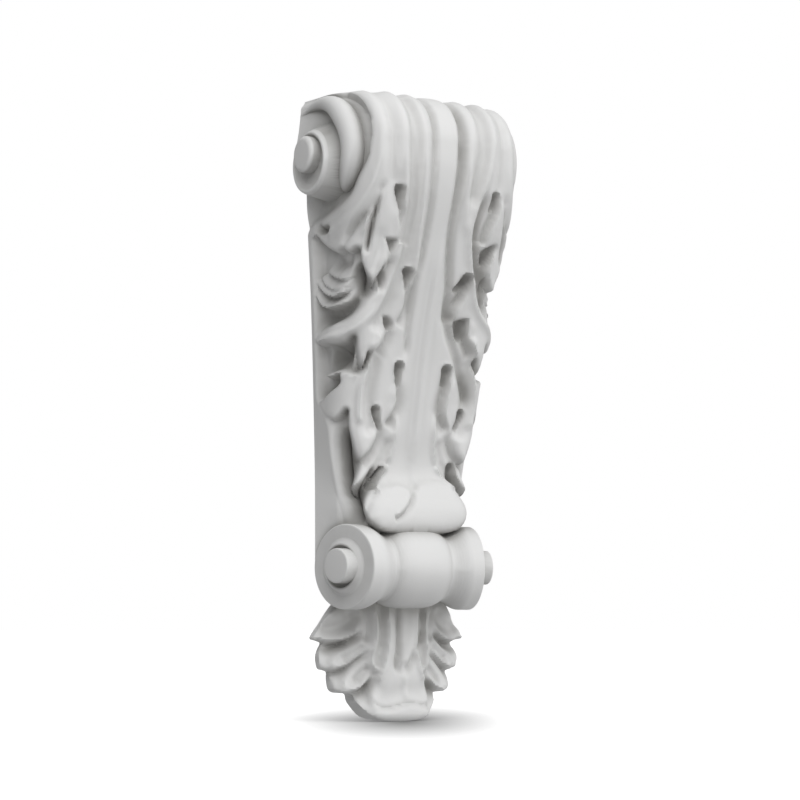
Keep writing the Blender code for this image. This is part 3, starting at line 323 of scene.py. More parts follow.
# Its lobes: outline, lift at the tip, where the lift starts and where it is full
LOBES = [
    ([(44, 222), (50.5, 216), (57.5, 170), (59.5, 152.6), (66, 131), (78, 123.5), (91.5, 119.8), (113, 115),
      (104, 107), (95, 101.8), (86, 98), (77.6, 95.5), (72, 97.5), (68, 95), (63, 94), (58.3, 96.5),
      (56, 89), (52.5, 82), (48, 76), (44.2, 71), (43.5, 76), (39.8, 83), (36, 92), (31, 100.6),
      (31.2, 108), (32, 112), (34, 121), (30, 135), (24, 150), (20, 222)], 2.5, (42, 110), (45, 74)),
    ([(35, 85), (41.2, 71.8), (47.7, 58.2), (58, 48.6), (71, 47), (88, 44.5), (93, 43.5), (88, 40),
      (84.4, 39), (74, 38.5), (63.8, 37.5), (57, 38.5), (52, 43), (50.5, 37), (48.5, 30), (44.5, 21.0),
      (41.5, 27.8), (40.5, 33.0), (36.5, 32.5), (31.9, 38), (30.9, 43.8), (32.3, 49.4), (26, 60),
      (20, 75), (22, 90)],
     2.5, (38, 70), (44, 24)),
    ([(30, 45), (40, 30), (43.8, 22), (48, 20.5), (54, 22), (62, 22.5), (76, 20.5), (72, 17.5), (66, 16.5),
      (60, 18.5), (64, 13.5), (78.6, 4.6), (79.5, 2), (77.4, 0.6),
      (73, -3.5), (68.9, -6.6), (63, -9), (58.5, -9.8), (54.5, -7), (52.1, -3.4), (51, -4.2), (50.5, -10),
      (49.2, -16.2), (45.3, -27), (40, -36.5), (34.5, -32), (31, -26), (28.6, -18.6), (28, -13), (26, -5),
      (20, 5), (16, 15), (20, 30)], 3.0, (38, 5), (39, -33)),
    ([(13, 6), (14.5, -13.8), (15.9, -25), (18.5, -37.8), (21, -35.4), (27, -39), (33, -45), (36, -49),
      (42, -54), (48.7, -57), (46, -50), (41, -40), (36, -28), (30, -12), (24, 0)], 1.5, (24, -20),
      (45, -54)),
]
# Ridges and flutes: line, height, half width, fading share at the ends
RIDGES = [
    ([(50, 224), (51.5, 192), (50, 167), (51, 147), (57, 130), (67, 118), (80, 111), (92, 107.5)],
     2.0, 4.2, 0.08),
    ([(42, 250), (43, 190), (42.5, 171), (41.6, 150), (39.6, 132), (38, 116)], -2.6, 4.4, 0.30),
    ([(0, 240), (0, 100)], 1.2, 6.5, 0.20),
    ([(0, 120), (0, -46)], 2.2, 4.0, 0.20),
    ([(46, 140), (48.4, 134), (54.6, 121), (63.4, 110.4), (69.5, 102), (71, 95)], -3.2, 2.6, 0.35),
    ([(48.5, 134), (52.8, 124.6), (55, 115.8), (56, 102)], 1.6, 1.7, 0.15),
    ([(36.5, 48), (36.6, 42), (40.5, 31.5), (41.0, 22), (43.4, 11.8), (43.5, 3.8), (42.8, -5), (40.4, -13)],
     2.4, 2.2, 0.10),
    ([(33.5, 36), (35, 22), (36.5, 5), (35, -10), (33.5, -20)], -3.2, 4.2, 0.15),
    ([(19, -18), (21, -28), (25, -38), (34, -46)], -2.2, 3.2, 0.20),
    ([(15.5, -2), (15, -14), (15.8, -25), (18.5, -37)], 1.8, 1.7, 0.15),
    ([(18.4, -36), (21, -40.5), (25.2, -45.6), (29, -49.6), (30.6, -53)], 1.8, 1.5, 0.12),
    ([(43, 112), (45.5, 100), (47.5, 88), (46.5, 78)], -1.6, 4.0, 0.25),
]
# The two halves were carved freely, so the long ridges and the valleys of the stem differ
SIDE_RIDGES = {
    -1: [
        ([(33, 240), (34, 200), (34, 171), (33.5, 150), (31.5, 136), (30, 122), (29, 108), (30, 94),
          (34.4, 76), (39.6, 61.4), (47.4, 52), (58.6, 45.4), (71, 43.4), (88, 42)], 2.2, 2.8, 0.05),
        ([(19, 240), (19.6, 190), (19, 150), (18.2, 125), (17.6, 105), (16, 90),
          (14.8, 78)], 2.2, 2.6, 0.12),
        ([(26, 240), (26.5, 171), (25.5, 128), (24.5, 105), (26, 86), (31, 68), (37, 54), (42, 46)],
         -2.4, 4.0, 0.10),
        ([(9, 240), (11.5, 190), (12, 150), (11.5, 125), (11.8, 105), (12.9, 90), (14.4, 77), (15, 64),
          (14.4, 50), (13.4, 39), (13.4, 28)], -2.4, 2.0, 0.10),
        ([(2.6, 90), (2.2, 40), (2.0, -30)], -0.7, 1.0, 0.15),
    ],
    1: [
        ([(33, 240), (34, 200), (33, 171), (30, 150), (26.5, 135), (23, 122), (21.8, 112), (24, 99),
          (29.4, 82), (34.4, 69), (41, 60), (48, 54), (59, 47.5), (71, 45.5), (86, 43.5)], 2.4, 2.6, 0.05),
        ([(19, 240), (18.5, 190), (15.5, 155), (15.5, 128), (17.5, 108)], 2.0, 2.8, 0.12),
        ([(26, 240), (26, 171), (22.4, 148), (18.5, 126)], -2.4, 4.0, 0.14),
        ([(31, 142), (27.4, 126), (25.6, 114), (28.2, 99), (34, 82), (38.6, 70), (44.4, 62.4), (55, 58)],
         -4.6, 2.6, 0.12),
        ([(8, 240), (9.5, 190), (8.6, 154), (7.0, 118), (8.6, 97), (11.8, 78), (14, 60), (18.4, 47.4),
          (25.2, 36), (32.6, 19), (37.6, 8.6), (40.5, 0)], -4.2, 2.8, 0.10),
    ],
}
# Fading share at the ends of the lines that name none
SLIT_FADE = 0.3
HOLLOW_FADE = 0.2
FORK_FADE = 0.15
# Towards the nose the ridges grow lower and the flutes deeper: from this height, over this
# length, and by these shares
NOSE_FROM = 120.0
NOSE_OVER = 80.0
RIDGES_LOWER = 0.5
FLUTES_DEEPER = 0.3
# Edges of the leaflets that lie over the next one: line, climb at the start, climb at the end,
# drop.  The leaf climbs to the edge on the line's left and drops on its right.
EDGES = [
    ([(28.4, -12), (28.6, -21), (33, -29.5), (39.6, -36.4)], 1.0, 2.2, 3.6),
    ([(21, -36), (27.4, -41.6), (33.6, -46.8), (37.6, -50.2), (44.8, -54.2), (48.7, -57)], 1.6, 1.6, 1.6),
]
SIDE_EDGES = {
    -1: [
        ([(34.6, 124), (33.6, 117), (31.6, 110), (31, 104.5), (31.6, 101)], 1.4, 1.0, 3.6),
        ([(35.4, 95.5), (37, 89), (39, 83), (42, 77.5), (44.2, 72)], 1.0, 2.0, 3.4),
        ([(21.6, 77), (20, 70), (19.6, 63), (21, 57), (24, 51)], 1.4, 1.0, 3.6),
        ([(30.6, 48), (30.6, 43), (32.2, 38.5), (36.5, 33)], 0.8, 1.6, 3.2),
        ([(17.6, 16), (16.8, 8.5), (16.6, 2), (19, -5), (24, -12.6)], 1.6, 2.2, 3.6),
    ],
    1: [
        ([(42.6, 135), (41.3, 129), (38.1, 119.8), (34.4, 110.4), (33.6, 104)], 1.6, 1.2, 4.6),
        ([(46.6, 106), (41.6, 98.4), (37.6, 91.6), (38, 84.8), (42, 78.4), (49, 74.6)], 1.2, 2.0, 5.0),
        ([(27.6, 87), (27, 82.6), (26, 76), (23.4, 69.6), (19.6, 63.8), (18.8, 59),
          (19.4, 54.6)], 1.8, 1.4, 5.4),
        ([(31.2, 59), (30.6, 55.6), (30.2, 51.8), (31, 47), (36, 40), (40, 34.6)], 1.2, 1.6, 5.0),
        ([(23.6, 23), (22.9, 19.2), (21.4, 11.8), (19.8, 3.8), (20, -2.6), (23, -9), (27.4, -13.4)],
         2.0, 2.4, 4.2),
    ],
}
CLIMB_WIDTH = 5.0       # over this length the leaf climbs to the edge
DROP_WIDTH = 6.0        # and over this length the drop runs out again
EDGE_SOFT = 1.9         # half width of the step itself
# The curled lip at the foot of the leaf overlaps itself, so its two halves differ: for each
# side its crest and its foot
LIP_CREST = {
    -1: [(-10, -53.6), (0, -54.2), (2.6, -54.6), (4.6, -55.4), (7, -53), (13.7, -51.2), (22.1, -53),
         (28.2, -55.6), (30.7, -53)],
    1: [(-10, -53.6), (0, -54.2), (3.1, -50.6), (11.9, -48.2), (20.7, -48.2), (27.6, -49.8), (31.6, -52.2),
        (35, -55)],
}
LIP_FOOT = {
    -1: [(30.7, -53), (30.8, -56.2), (33.5, -61), (37, -67.4), (37.1, -73), (33.6, -77), (29.6, -80.2),
         (19.8, -81.4), (-10, -81.4)],
    1: [(35, -55), (38.5, -60), (40.5, -66), (39, -72), (34, -76.4), (28.6, -78.6), (16, -80.6),
        (-10, -81.4)],
}
# Crease and rim where its right half runs over its left half, in the same form as the ridges
LIP_FOLD = [
    ([(3.6, -54.6), (4.4, -59.4), (10, -66), (15.2, -70.2), (19.3, -71.8)], -2.2, 1.6, 0.08),
    ([(4.6, -55), (6.8, -60.2), (13.1, -66.4), (19.4, -70.2)], 1.2, 1.4, 0.1),
]
LIP_CLIMB = 3.6         # the lip climbs from the leaf over this length
LIP_ROUND = 13.0        # and its front is rounded over this width
LIP_FADE = 2.5          # it fades out this far inside the sheet's outline
# Drilled eyes: line from the wide end to the narrow end, wide radius, narrow radius
EYES = {
    -1: [
        ([(35.8, 133), (35.2, 128), (33.4, 121)], 3.0, 1.3),
        ([(20.6, 83.4), (20.4, 79), (20.4, 74)], 3.2, 1.3),
        ([(17.2, 25.5), (17.4, 20), (16.6, 13)], 3.1, 1.4),
        ([(30.8, -2.5), (29.6, -8), (26.8, -14.4)], 2.4, 1.2),
        ([(22.2, -38.8), (26, -43), (29.4, -47.6), (31.6, -52)], 1.2, 1.9),
    ],
    1: [
        ([(38, 135), (37.2, 131.6), (35.4, 127)], 3.6, 1.8),
        ([(25.4, 83), (22.6, 79.6), (18, 75.6)], 3.6, 2.2),
        ([(19.6, 24.6), (19, 20.6), (18.6, 16)], 3.8, 1.8),
        ([(34.6, -2), (33.2, -6), (31, -12)], 2.6, 1.4),
        ([(31, -37), (31, -42), (33.5, -48)], 3.2, 2.2),
    ],
}
EYE_RIM = 0.5           # raised rim round each eye
# Three-cornered pockets where one leaflet's tip lies over the next
POCKETS = {
    -1: [
        [(41.5, 104), (36.8, 103), (32.6, 102.6), (33.6, 98.6), (35.6, 94), (38.6, 98.8)],
        [(33.4, 55.6), (29.6, 55.2), (26.4, 51.6), (27.4, 46.6), (30.2, 47.2), (32.4, 51)],
    ],
    1: [
        [(47, 106.4), (40.4, 105), (33, 101.4), (33.4, 96.5), (36.6, 92), (42, 98)],
        [(31.4, 59), (25, 57.2), (20.2, 55.8), (21.8, 50), (26, 43.4), (30.2, 46.6), (29.8, 52)],
    ],
}
POCKET_SHARE = 0.75     # depth of the pockets against the eyes'
POCKET_OUT = 0.8        # the slope of a pocket's wall starts this far outside its outline
POCKET_SLOPE = 3.4
# Slits between leaflets: line, depth, half width
SLITS = [
    ([(47.4, 132), (50.2, 121), (51.8, 108.8), (52.2, 98), (52.2, 92)], 5.0, 1.2),
    ([(90.5, 115), (96, 113), (103, 114.4), (112, 120.5)], 6.0, 2.2),
    ([(56, 17), (63, 12.8), (70, 9.6), (79, 5.6)], 6.0, 1.7),
]
# Lower edges of the nested leaflets on the side under the first lobe, from the uppermost
SHELLS = [
    [(94.5, 90), (91, 85.6), (86.8, 83.4), (77.5, 80.6), (69.2, 79), (64.2, 79), (59.2, 80.6), (56.4, 85)],
    [(100, 86), (98.8, 83), (92.4, 78.2), (82.1, 74.2), (74.4, 73.4), (67.1, 73.4), (62.2, 75.8), (57, 80)],
    [(103.5, 84), (102, 80), (95.1, 75), (85.6, 71), (76.9, 69.4), (69.4, 70.2), (63.2, 71.8), (56, 77)],
    [(103.5, 78), (100.3, 72.6), (93.9, 67), (87.1, 63.8), (74.9, 62.2), (64.7, 63), (58.2, 65.4), (48, 74)],
]
SHELL_RISE = (3.2, 4.2, 5.2, 6.2)
SHELL_CLIMB = 4.2       # over this length each leaflet climbs to its edge
SHELL_STEP = 0.8        # and over this length it steps down again
SHELL_OUT = 3.0         # they stop this far from the wall
LIFT_WIDTH = 6.0        # the lobes reach their lift this far inside their outlines
LOBE_RIM = 0.35         # raised rim just inside their outlines, how far inside, and half its width
LOBE_RIM_IN = 2.0
LOBE_RIM_WIDTH = 1.3
LOBE_ROUND = 3.4        # their edges are rounded over this width
COVE = [(41, 72.5), (47.4, 58.6), (58, 49), (71, 47.4), (88, 45), (100, 43.4)]
COVE_RISE = 7.0         # the cove climbs by this much up to the second lobe
COVE_WIDTH = 6.0
SIDE_FROM = 40.0        # from here on the section is its side
# Deep places in the ground behind the lobes: line, depth, half width
HOLLOWS = [
    ([(50, 31), (60, 31), (70, 30.5), (80, 31)], 12.0, 6.5),
    ([(64, 90.5), (76, 89.5), (89, 93)], 3.0, 3.0),
    ([(59, 88), (51, 75), (45, 66)], 12.0, 4.6),
    ([(96, 58), (76, 56), (60, 59), (50, 67)], 5.0, 3.4),
    ([(51, -12), (47, -30), (44, -44), (43, -60), (43, -78)], 11.0, 6.5),
    ([(36, -52), (42, -62), (42, -78)], 4.0, 4.0),
]
# Outline of the volute's field
VOLUTE_EDGE = [(50, 224), (51.5, 205), (57.5, 170), (59.5, 152.6), (66, 131), (78, 124), (91.5, 120.3),
               (113, 116), (125, 116), (125, 224)]


# Profiles of the volute's ring and eye: out from the face, beyond the radius
RING_PROFILE = [(-2.0, 0.0), (0.0, -1.2), (0.0, -2.8), (-2.6, -5.4)]
RING_FOOT = 7.5         # the ring's foot is this much wider than the ring
RING_DISH = 3.2         # its middle is dished by this much
RING_SOFT = 1.4         # rounding of its corners
EYE_PROFILE = [(-1.6, 0.0), (0.0, -2.2)]
EYE_SOFT = 1.6
# The bead: degrees round the volute at its start and on its way, its thinnest radius, how far
# its middle is sunk behind the side, the share of its radius that it then stands out again,
# and the share of its way from which its end is rounded
BEAD_START = 128.0
BEAD_SWEEP = 182.0
BEAD_THIN = 1.4
BEAD_SUNK = 2.6
BEAD_PROUD = 0.4
BEAD_END = 0.74


# The hanging leaf's carving: line, height, half width, fading share at the ends
DROP_RIDGES = [
    ([(12, -120), (10.2, -141), (11, -154), (14.2, -167), (18.6, -175)], 1.7, 1.9, 0.10),
    ([(15.6, -120), (14.6, -140), (15.6, -155), (18, -167)], -2.2, 2.4, 0.10),
    ([(21.6, -120), (18.8, -138), (19, -148), (21.2, -155), (21.6, -163), (18.4, -170)], 1.7, 1.8, 0.08),
    ([(28, -122), (24.6, -134), (24, -142), (25.6, -150)], -2.6, 2.4, 0.12),
    ([(54, -140), (44, -140), (35, -136), (31, -126)], -3.6, 5.0, 0.20),
    ([(24, -140), (28.4, -148.4), (35.6, -153.2), (41.8, -156.6), (45.6, -160.8),
      (47, -166)], 2.0, 1.7, 0.12),
    ([(51, -155), (42, -152.4), (35, -148.6)], -2.6, 2.2, 0.20),
    ([(24.6, -151.4), (33, -157.6), (40.4, -162)], -3.0, 2.2, 0.20),
    ([(22, -157.4), (28.4, -162.2), (34.6, -167.4), (38.4, -173.6), (39.6, -180)], 1.8, 1.7, 0.12),
    ([(20.4, -164), (27.4, -169.6), (33, -176)], -3.2, 2.3, 0.20),
]
# Edges of its leaflets, in the same form as the large leaf's
DROP_EDGES = [
    ([(26.6, -138), (30, -143.4), (34.6, -146.6), (40.4, -149), (49, -149.4),
      (57.4, -146.4)], 1.2, 2.8, 5.4),
    ([(21.4, -152.6), (26, -156.4), (30.4, -159.6), (37.2, -164.6), (46.6, -167.6), (52.8, -165.6)],
     1.2, 2.6, 5.6),
    ([(18.2, -170.6), (24.2, -176), (29.4, -179.6), (38.8, -181.8), (44.2, -180.4)], 1.2, 2.4, 5.4),
    ([(17, -191), (21.2, -188.6), (22.6, -184), (21.8, -178.6), (18.4, -172.4),
      (15.6, -167)], 1.2, 0.8, 3.4),
]
# The fork in its middle leans, so it is drawn on both sides of the middle line: line, height,
# half width
FORK = [([(-4.6, -120), (-3.6, -137), (-3.2, -148), (-3.6, -156), (-4.8, -164), (-2, -170.4)], -3.0, 1.7),
        ([(14, -120), (17.2, -136), (16.6, -144), (11.8, -153), (5, -164), (1, -171)], -2.2, 1.8),
        ([(8, -120), (6.6, -143), (3.4, -155), (0, -165)], 1.4, 3.2),
        ([(1.2, -170), (2.2, -186)], 0.9, 1.8)]
# Its tip is rolled over: the crease above the curl
TIP_CREASE = [(-23, -184.6), (-19, -189.2), (-12.4, -191.4), (-3.6, -190), (4, -188.4), (12.8, -189.4),
              (22, -191)]
CREASE_DEPTH = 0.8
CREASE_WIDTH = 1.4
HOLLOW_DEPTH = 1.4      # hollow of the tongue, how far above the crease, and half its height
HOLLOW_UP = 8.0
HOLLOW_HALF = 6.0
TIP_HALF = 26.0         # the curl runs out at this distance from the middle, over this width
TIP_OVER = 7.0
CURL_ROUND = 4.0        # the curl rolls forward over this length
TIP_LOW = 200.6         # and its foot is turned under from here, with this radius
TIP_TURN = 6.0
# Half outline of the hanging leaf, from its stem to its tip
DROP_OUTLINE = [(30, -120), (38, -123), (44, -128.6), (50.8, -137.8), (57.2, -146.4), (53.5, -148.4),
                (49.6, -150), (51.6, -154), (53, -159.2), (51.6, -165.8), (48, -167.2), (45, -168.4),
                (44.9, -173), (43.6, -179), (40.4, -181.4), (35.5, -181.8), (31.2, -182.6), (30, -186.5),
                (27, -190.6), (19.6, -197.2), (9.6, -199.5), (0, -200)]
DROP_CROWN = 52.0       # its crown falls to the edge depth at this distance from the middle
DROP_HALF = 62.0        # half width, lower end and height of the block that it is cut from
DROP_LOW = -204.0
DROP_TALL = 92.0
DROP_LEAST = 2.5        # it is nowhere thinner than this
DROP_EDGE = 1.8         # its edge is rounded over this width, by a share of the edge depth
DROP_EDGE_SHARE = 0.3


# Curves and carved lines

def ease(value):
    """0 below 0, 1 above 1, smooth between."""
    clipped = np.clip(value, 0.0, 1.0)
    return clipped * clipped * (3.0 - 2.0 * clipped)


def through(points, steps=6):
    """A smooth line through the points, as an array of (across, up)."""
    points = np.array(points, float)
    ends = np.vstack([2 * points[0] - points[1], points, 2 * points[-1] - points[-2]])
    t = np.linspace(0.0, 1.0, steps, endpoint=False)[:, None]
    pieces = []
    for a, b, c, d in zip(ends[:-3], ends[1:-2], ends[2:-1], ends[3:]):
        pieces.append(0.5 * (2 * b + (c - a) * t + (2 * a - 5 * b + 4 * c - d) * t ** 2
                             + (3 * b - a - 3 * c + d) * t ** 3))
    return np.vstack(pieces + [points[-1:]])


def table(at, rows):
    """Smooth value of a table of (place, value) rows."""
    rows = np.array(rows, float)
    place = rows[:, 0]
    value = rows[:, 1]
    slope = np.diff(value) / np.diff(place)
    product = slope[:-1] * slope[1:]
    total = slope[:-1] + slope[1:]
    inner = np.where(product > 0, 2 * product / np.where(total == 0, 1, total), 0.0)
    tangent = np.concatenate([slope[:1], inner, slope[-1:]])
    at = np.clip(at, place[0], place[-1])
    index = np.clip(np.searchsorted(place, at) - 1, 0, len(place) - 2)
    step = place[index + 1] - place[index]
    t = (at - place[index]) / step
    return ((2 * t ** 3 - 3 * t ** 2 + 1) * value[index] + (t ** 3 - 2 * t ** 2 + t) * step * tangent[index]
            + (3 * t ** 2 - 2 * t ** 3) * value[index + 1] + (t ** 3 - t ** 2) * step * tangent[index + 1])


def to_line(q, v, line):
    """Distance to a line, negative on its right, and the share of the way along it."""
    best = np.full(q.shape, 1e9)
    share = np.zeros(q.shape)
    left = np.ones(q.shape)
    count = len(line) - 1
    for number, (start, end) in enumerate(zip(line[:-1], line[1:])):
        run = end - start
        length = max(float(run @ run), 1e-9)
        t = np.clip(((q - start[0]) * run[0] + (v - start[1]) * run[1]) / length, 0.0, 1.0)
        away = np.hypot(q - start[0] - t * run[0], v - start[1] - t * run[1])
        nearer = away < best
        best = np.where(nearer, away, best)
        share = np.where(nearer, (number + t) / count, share)
        left = np.where(nearer, np.sign(run[0] * (v - start[1]) - run[1] * (q - start[0])), left)
    return best * left, share


def inside(q, v, outline):
    """Distance to a closed outline, positive inside it."""
    closed = np.vstack([outline, outline[:1]])
    away = np.abs(to_line(q, v, closed)[0])
    within = np.zeros(q.shape, bool)
    for (q0, v0), (q1, v1) in zip(closed[:-1], closed[1:]):
        if v0 == v1:
            continue
        crosses = ((v0 > v) != (v1 > v)) & (q < (q1 - q0) * (v - v0) / (v1 - v0) + q0)
        within ^= crosses
    return np.where(within, away, -away)


def rounded(distance, width):
    """Rounded edge: 0 at the outline, 1 from the width inwards."""
    t = np.clip(distance / width, 0.0, 1.0)
    return np.sqrt(np.clip(1.0 - (1.0 - t) ** 2, 0.0, 1.0))


def ridge(q, v, line, height, width, ends=0.12):
    """Raised or, with a negative height, hollowed line that fades at its ends."""
    away, share = to_line(q, v, through(line))
    fade = ease(share / ends) * ease((1.0 - share) / ends)
    return height * fade * np.exp(-(away / width) ** 2)


def leaf_edge(q, v, line, climb_start, climb_end, drop):
    """Step along a leaflet's edge: a climb to it on the left of the line, a drop on the right."""
    away, share = to_line(q, v, through(line))
    fade = ease(share / 0.3) * ease((1.0 - share) / 0.12)
    climb = (climb_start + (climb_end - climb_start) * share) * np.exp(-(away / CLIMB_WIDTH) ** 2)
    climb = climb * ease((1.0 - share) / 0.4)
    upper = ease((away + EDGE_SOFT) / (2 * EDGE_SOFT))
    return fade * (climb * upper - drop * np.exp(-(away / DROP_WIDTH) ** 2) * (1.0 - upper))


def pit(q, v, line, wide, narrow, depth):
    """Drilled drop-shaped eye along a line, from its wide end to its narrow end, with a raised rim."""
    away, share = to_line(q, v, through(line))
    away = np.abs(away)
    radius = wide + (narrow - wide) * share
    large = radius / max(wide, narrow)
    rim = EYE_RIM * large * np.exp(-((away - radius - 1.0) / 1.0) ** 2)
    return rim - depth * large ** 1.3 * ease((1.3 - away / radius) / 1.1)


# The scroll and its leaf

def scroll_scales(scroll):
    """Scale of the drawing across, out from the wall and up."""
    return (scroll.top_width / MM / DRAWN_WIDTH, scroll.projection / MM / DRAWN_PROJECTION,
            scroll.height / MM / DRAWN_HEIGHT)


def leaf_surface(scroll, up):
    """The smooth block that the leaf is carved on: one row of points for each height.

    Returns across, out, level, and the places on the drawing round and up the section,
    for the half from the middle line to the wall.
    """
    across, reach, tall = scroll_scales(scroll)
    spacing = scroll.spacing / MM
    radius = scroll.nose_radius / MM
    nose_out = DRAWN_PROJECTION - radius / reach
    nose_level = DRAWN_HEIGHT / 2 - radius / tall
    turn = np.clip((up - nose_level) / radius, 0.0, math.pi / 2)
    below = np.minimum(up, nose_level)
    depth = np.where(up > nose_level, nose_out + radius / reach * np.cos(turn), table(below, MIDDLE_LINE))
    level = np.where(up > nose_level, nose_level + radius / tall * np.sin(turn), up)
    half = table(up, LEAF_HALF)
    corner = table(up, CORNER)
    corner_out = np.minimum(corner * CORNER_DEPTH, depth * CORNER_LIMIT)
    top_up = nose_level + radius * math.pi / 2
    fanned = FAN_FROM + (up - FAN_FROM) * (DRAWN_HEIGHT / 2 - FAN_FROM) / (top_up - FAN_FROM)
    wall_level = np.where(up > FAN_FROM, fanned, up)
    low_half = scroll.low_width / MM / across / 2
    wall_half = low_half + (DRAWN_WIDTH / 2 - low_half) * table(wall_level, WIDENING)
    front = np.linspace(0.0, 1.0, int(FRONT_RUN / spacing), endpoint=False)[None, :]
    bend = np.linspace(0.0, math.pi / 2, int(CORNER_RUN / spacing), endpoint=False)[None, :]
    side = np.linspace(0.0, 1.0, int(SIDE_RUN / spacing))[None, :] ** SIDE_CROWD
    x = np.hstack([(half - corner)[:, None] * front,
                   (half - corner)[:, None] + corner[:, None] * np.sin(bend),
                   half[:, None] + (wall_half - half)[:, None] * side])
    y = np.hstack([depth[:, None] * np.ones_like(front),
                   (depth - corner_out)[:, None] + corner_out[:, None] * np.cos(bend),
                   (depth - corner_out)[:, None] * (1.0 - side)])
    share = y / depth[:, None]
    z = level[:, None] * share + wall_level[:, None] * (1.0 - share)
    step = np.hypot(np.diff(x, axis=1), np.diff(y, axis=1))
    q = np.hstack([np.zeros((len(up), 1)), np.cumsum(step, axis=1)])
    v = np.repeat(up[:, None], q.shape[1], axis=1)
    return x, y, z, q, v


def angle_round_volute(volute, out, level):
    """Degrees round the volute's centre: 0 to the front, 90 up, 180 at the wall."""
    angle = np.degrees(np.arctan2(level - volute.level / MM, out - volute.out / MM))
    return np.where(angle < -120, angle + 360, angle)


def volute_field(volute, out, level):
    """Height of the volute's field: it climbs outwards as it winds up and back to the wall."""
    angle = angle_round_volute(volute, out, level)
    climb = ease((angle - 45) / 160) * ease((244 - angle) / 56)
    return -volute.field_drop / MM + volute.field_climb / MM * climb


def side_ground(scroll, volute, q, v, out, level):
    """Height of the ground behind the lobes."""
    relief = scroll.relief / MM
    # The flat border along the wall is wider beside the lip than above it
    high = ease((v + 14.0) / 24.0)
    border = 16.0 - 12.5 * high
    fall = 12.0 - 5.0 * high
    ground = -relief * ease((out - border) / fall)
    ground = np.where(q < SIDE_FROM, -relief, ground)
    # Field of the volute: a step behind the band above, a wide cove below
    to_edge = inside(q, v, through(VOLUTE_EDGE, 4))
    in_field = np.maximum(to_edge, 0.0)
    volute_level = volute.level / MM
    low = ease((volute_level + 4.0 - level) / 22.0)
    field = volute_field(volute, out, level) * ease(in_field / (1.0 + 11.0 * low) + 0.3 * (1.0 - low))
    from_centre = np.hypot(out - volute.out / MM, level - volute_level)
    field = np.where(from_centre < volute.ring_radius / MM - 1.0, np.minimum(field, 4.0), field)
    ground = np.where(to_edge > -6.0, field, ground)
    # Nested leaflets under the first lobe: each climbs to its lower edge and ends in a step
    for line, rise in zip(SHELLS, SHELL_RISE):
        away, share = to_line(q, v, through(line))
        fade = ease(share / 0.12) * ease((1 - share) / 0.3) * ease((q - 55.0) / 8.0)
        width = np.where(away < 0, SHELL_CLIMB, SHELL_STEP)
        leaflet = -relief + rise * fade * np.exp(-(away / width) ** 2)
        ground = np.maximum(ground, np.where(out > SHELL_OUT, leaflet, -relief))
    away, _ = to_line(q, v, through(COVE))
    cove = -relief + COVE_RISE * np.exp(-(away / COVE_WIDTH) ** 2)
    ground = np.maximum(ground, np.where(q > SIDE_FROM, cove, -relief))
    for line, depth, width in HOLLOWS:
        ground = ground + ridge(q, v, line, -depth, width, HOLLOW_FADE)
    return ground


def curled_lip(q, v, side):
    """Share of the lip's height: a concave climb to its crest, then a full rounded front."""
    crest = through(LIP_CREST[side], 4)
    foot = through(LIP_FOOT[side], 4)
    within = inside(q, v, np.vstack([crest, foot]))
    climb = np.exp(-np.abs(to_line(q, v, crest)[0]) / LIP_CLIMB)
    return np.where(within > 0, rounded(np.abs(to_line(q, v, foot)[0]), LIP_ROUND), climb)


def carving(scroll, volute, q, v, out, level):
    """Height of the carving over the block for its left and its right half, in millimetres."""
    ground = side_ground(scroll, volute, q, v, out, level)
    sheet = inside(q, v, through(SHEET, 3))
    shapes = [(sheet, 0.0)]
    for outline, lift, start, end in LOBES:
        start = np.array(start, float)
        run = np.array(end, float) - start
        along = ((q - start[0]) * run[0] + (v - start[1]) * run[1]) / float(run @ run)
        shapes.append((inside(q, v, through(outline, 3)), lift * ease(along)))
    depth = scroll.eye_depth / MM
    halves = []
    for side in (-1, 1):
        leaf = np.zeros(q.shape)
        for line, height, width, ends in RIDGES + SIDE_RIDGES[side]:
            leaf = leaf + ridge(q, v, line, height, width, ends)
        for line, first, last, drop in EDGES + SIDE_EDGES[side]:
            leaf = leaf + leaf_edge(q, v, line, first, last, drop)
        # The ridges grow lower towards the nose, the flutes between them a little deeper
        high = ease((v - NOSE_FROM) / NOSE_OVER)
        leaf = (np.maximum(leaf, 0.0) * (1.0 - RIDGES_LOWER * high)
                + np.minimum(leaf, 0.0) * (1.0 + FLUTES_DEEPER * high))
        carved = ground
        for within, lift in shapes:
            rim = LOBE_RIM * np.exp(-((within - LOBE_RIM_IN) / LOBE_RIM_WIDTH) ** 2)
            top = leaf + lift * ease(within / LIFT_WIDTH) + rim
            shaped = ground + (top - ground) * rounded(within, LOBE_ROUND)
            carved = np.where(within > 0, np.maximum(carved, shaped), carved)
        for line, cut, width in SLITS:
            carved = carved + ridge(q, v, line, -cut, width, SLIT_FADE)
        for line, wide, narrow in EYES[side]:
            carved = carved + pit(q, v, line, wide, narrow, depth)
        for outline in POCKETS[side]:
            within = inside(q, v, through(outline + outline[:1], 4))
            carved = carved - depth * POCKET_SHARE * ease((within + POCKET_OUT) / POCKET_SLOPE)
        carved = carved + scroll.lip_out / MM * curled_lip(q, v, side) * ease(sheet / LIP_FADE)
        if side < 0:
            for line, height, width, ends in LIP_FOLD:
                carved = carved + ridge(q, v, line, height, width, ends)
        halves.append(carved)
    return halves


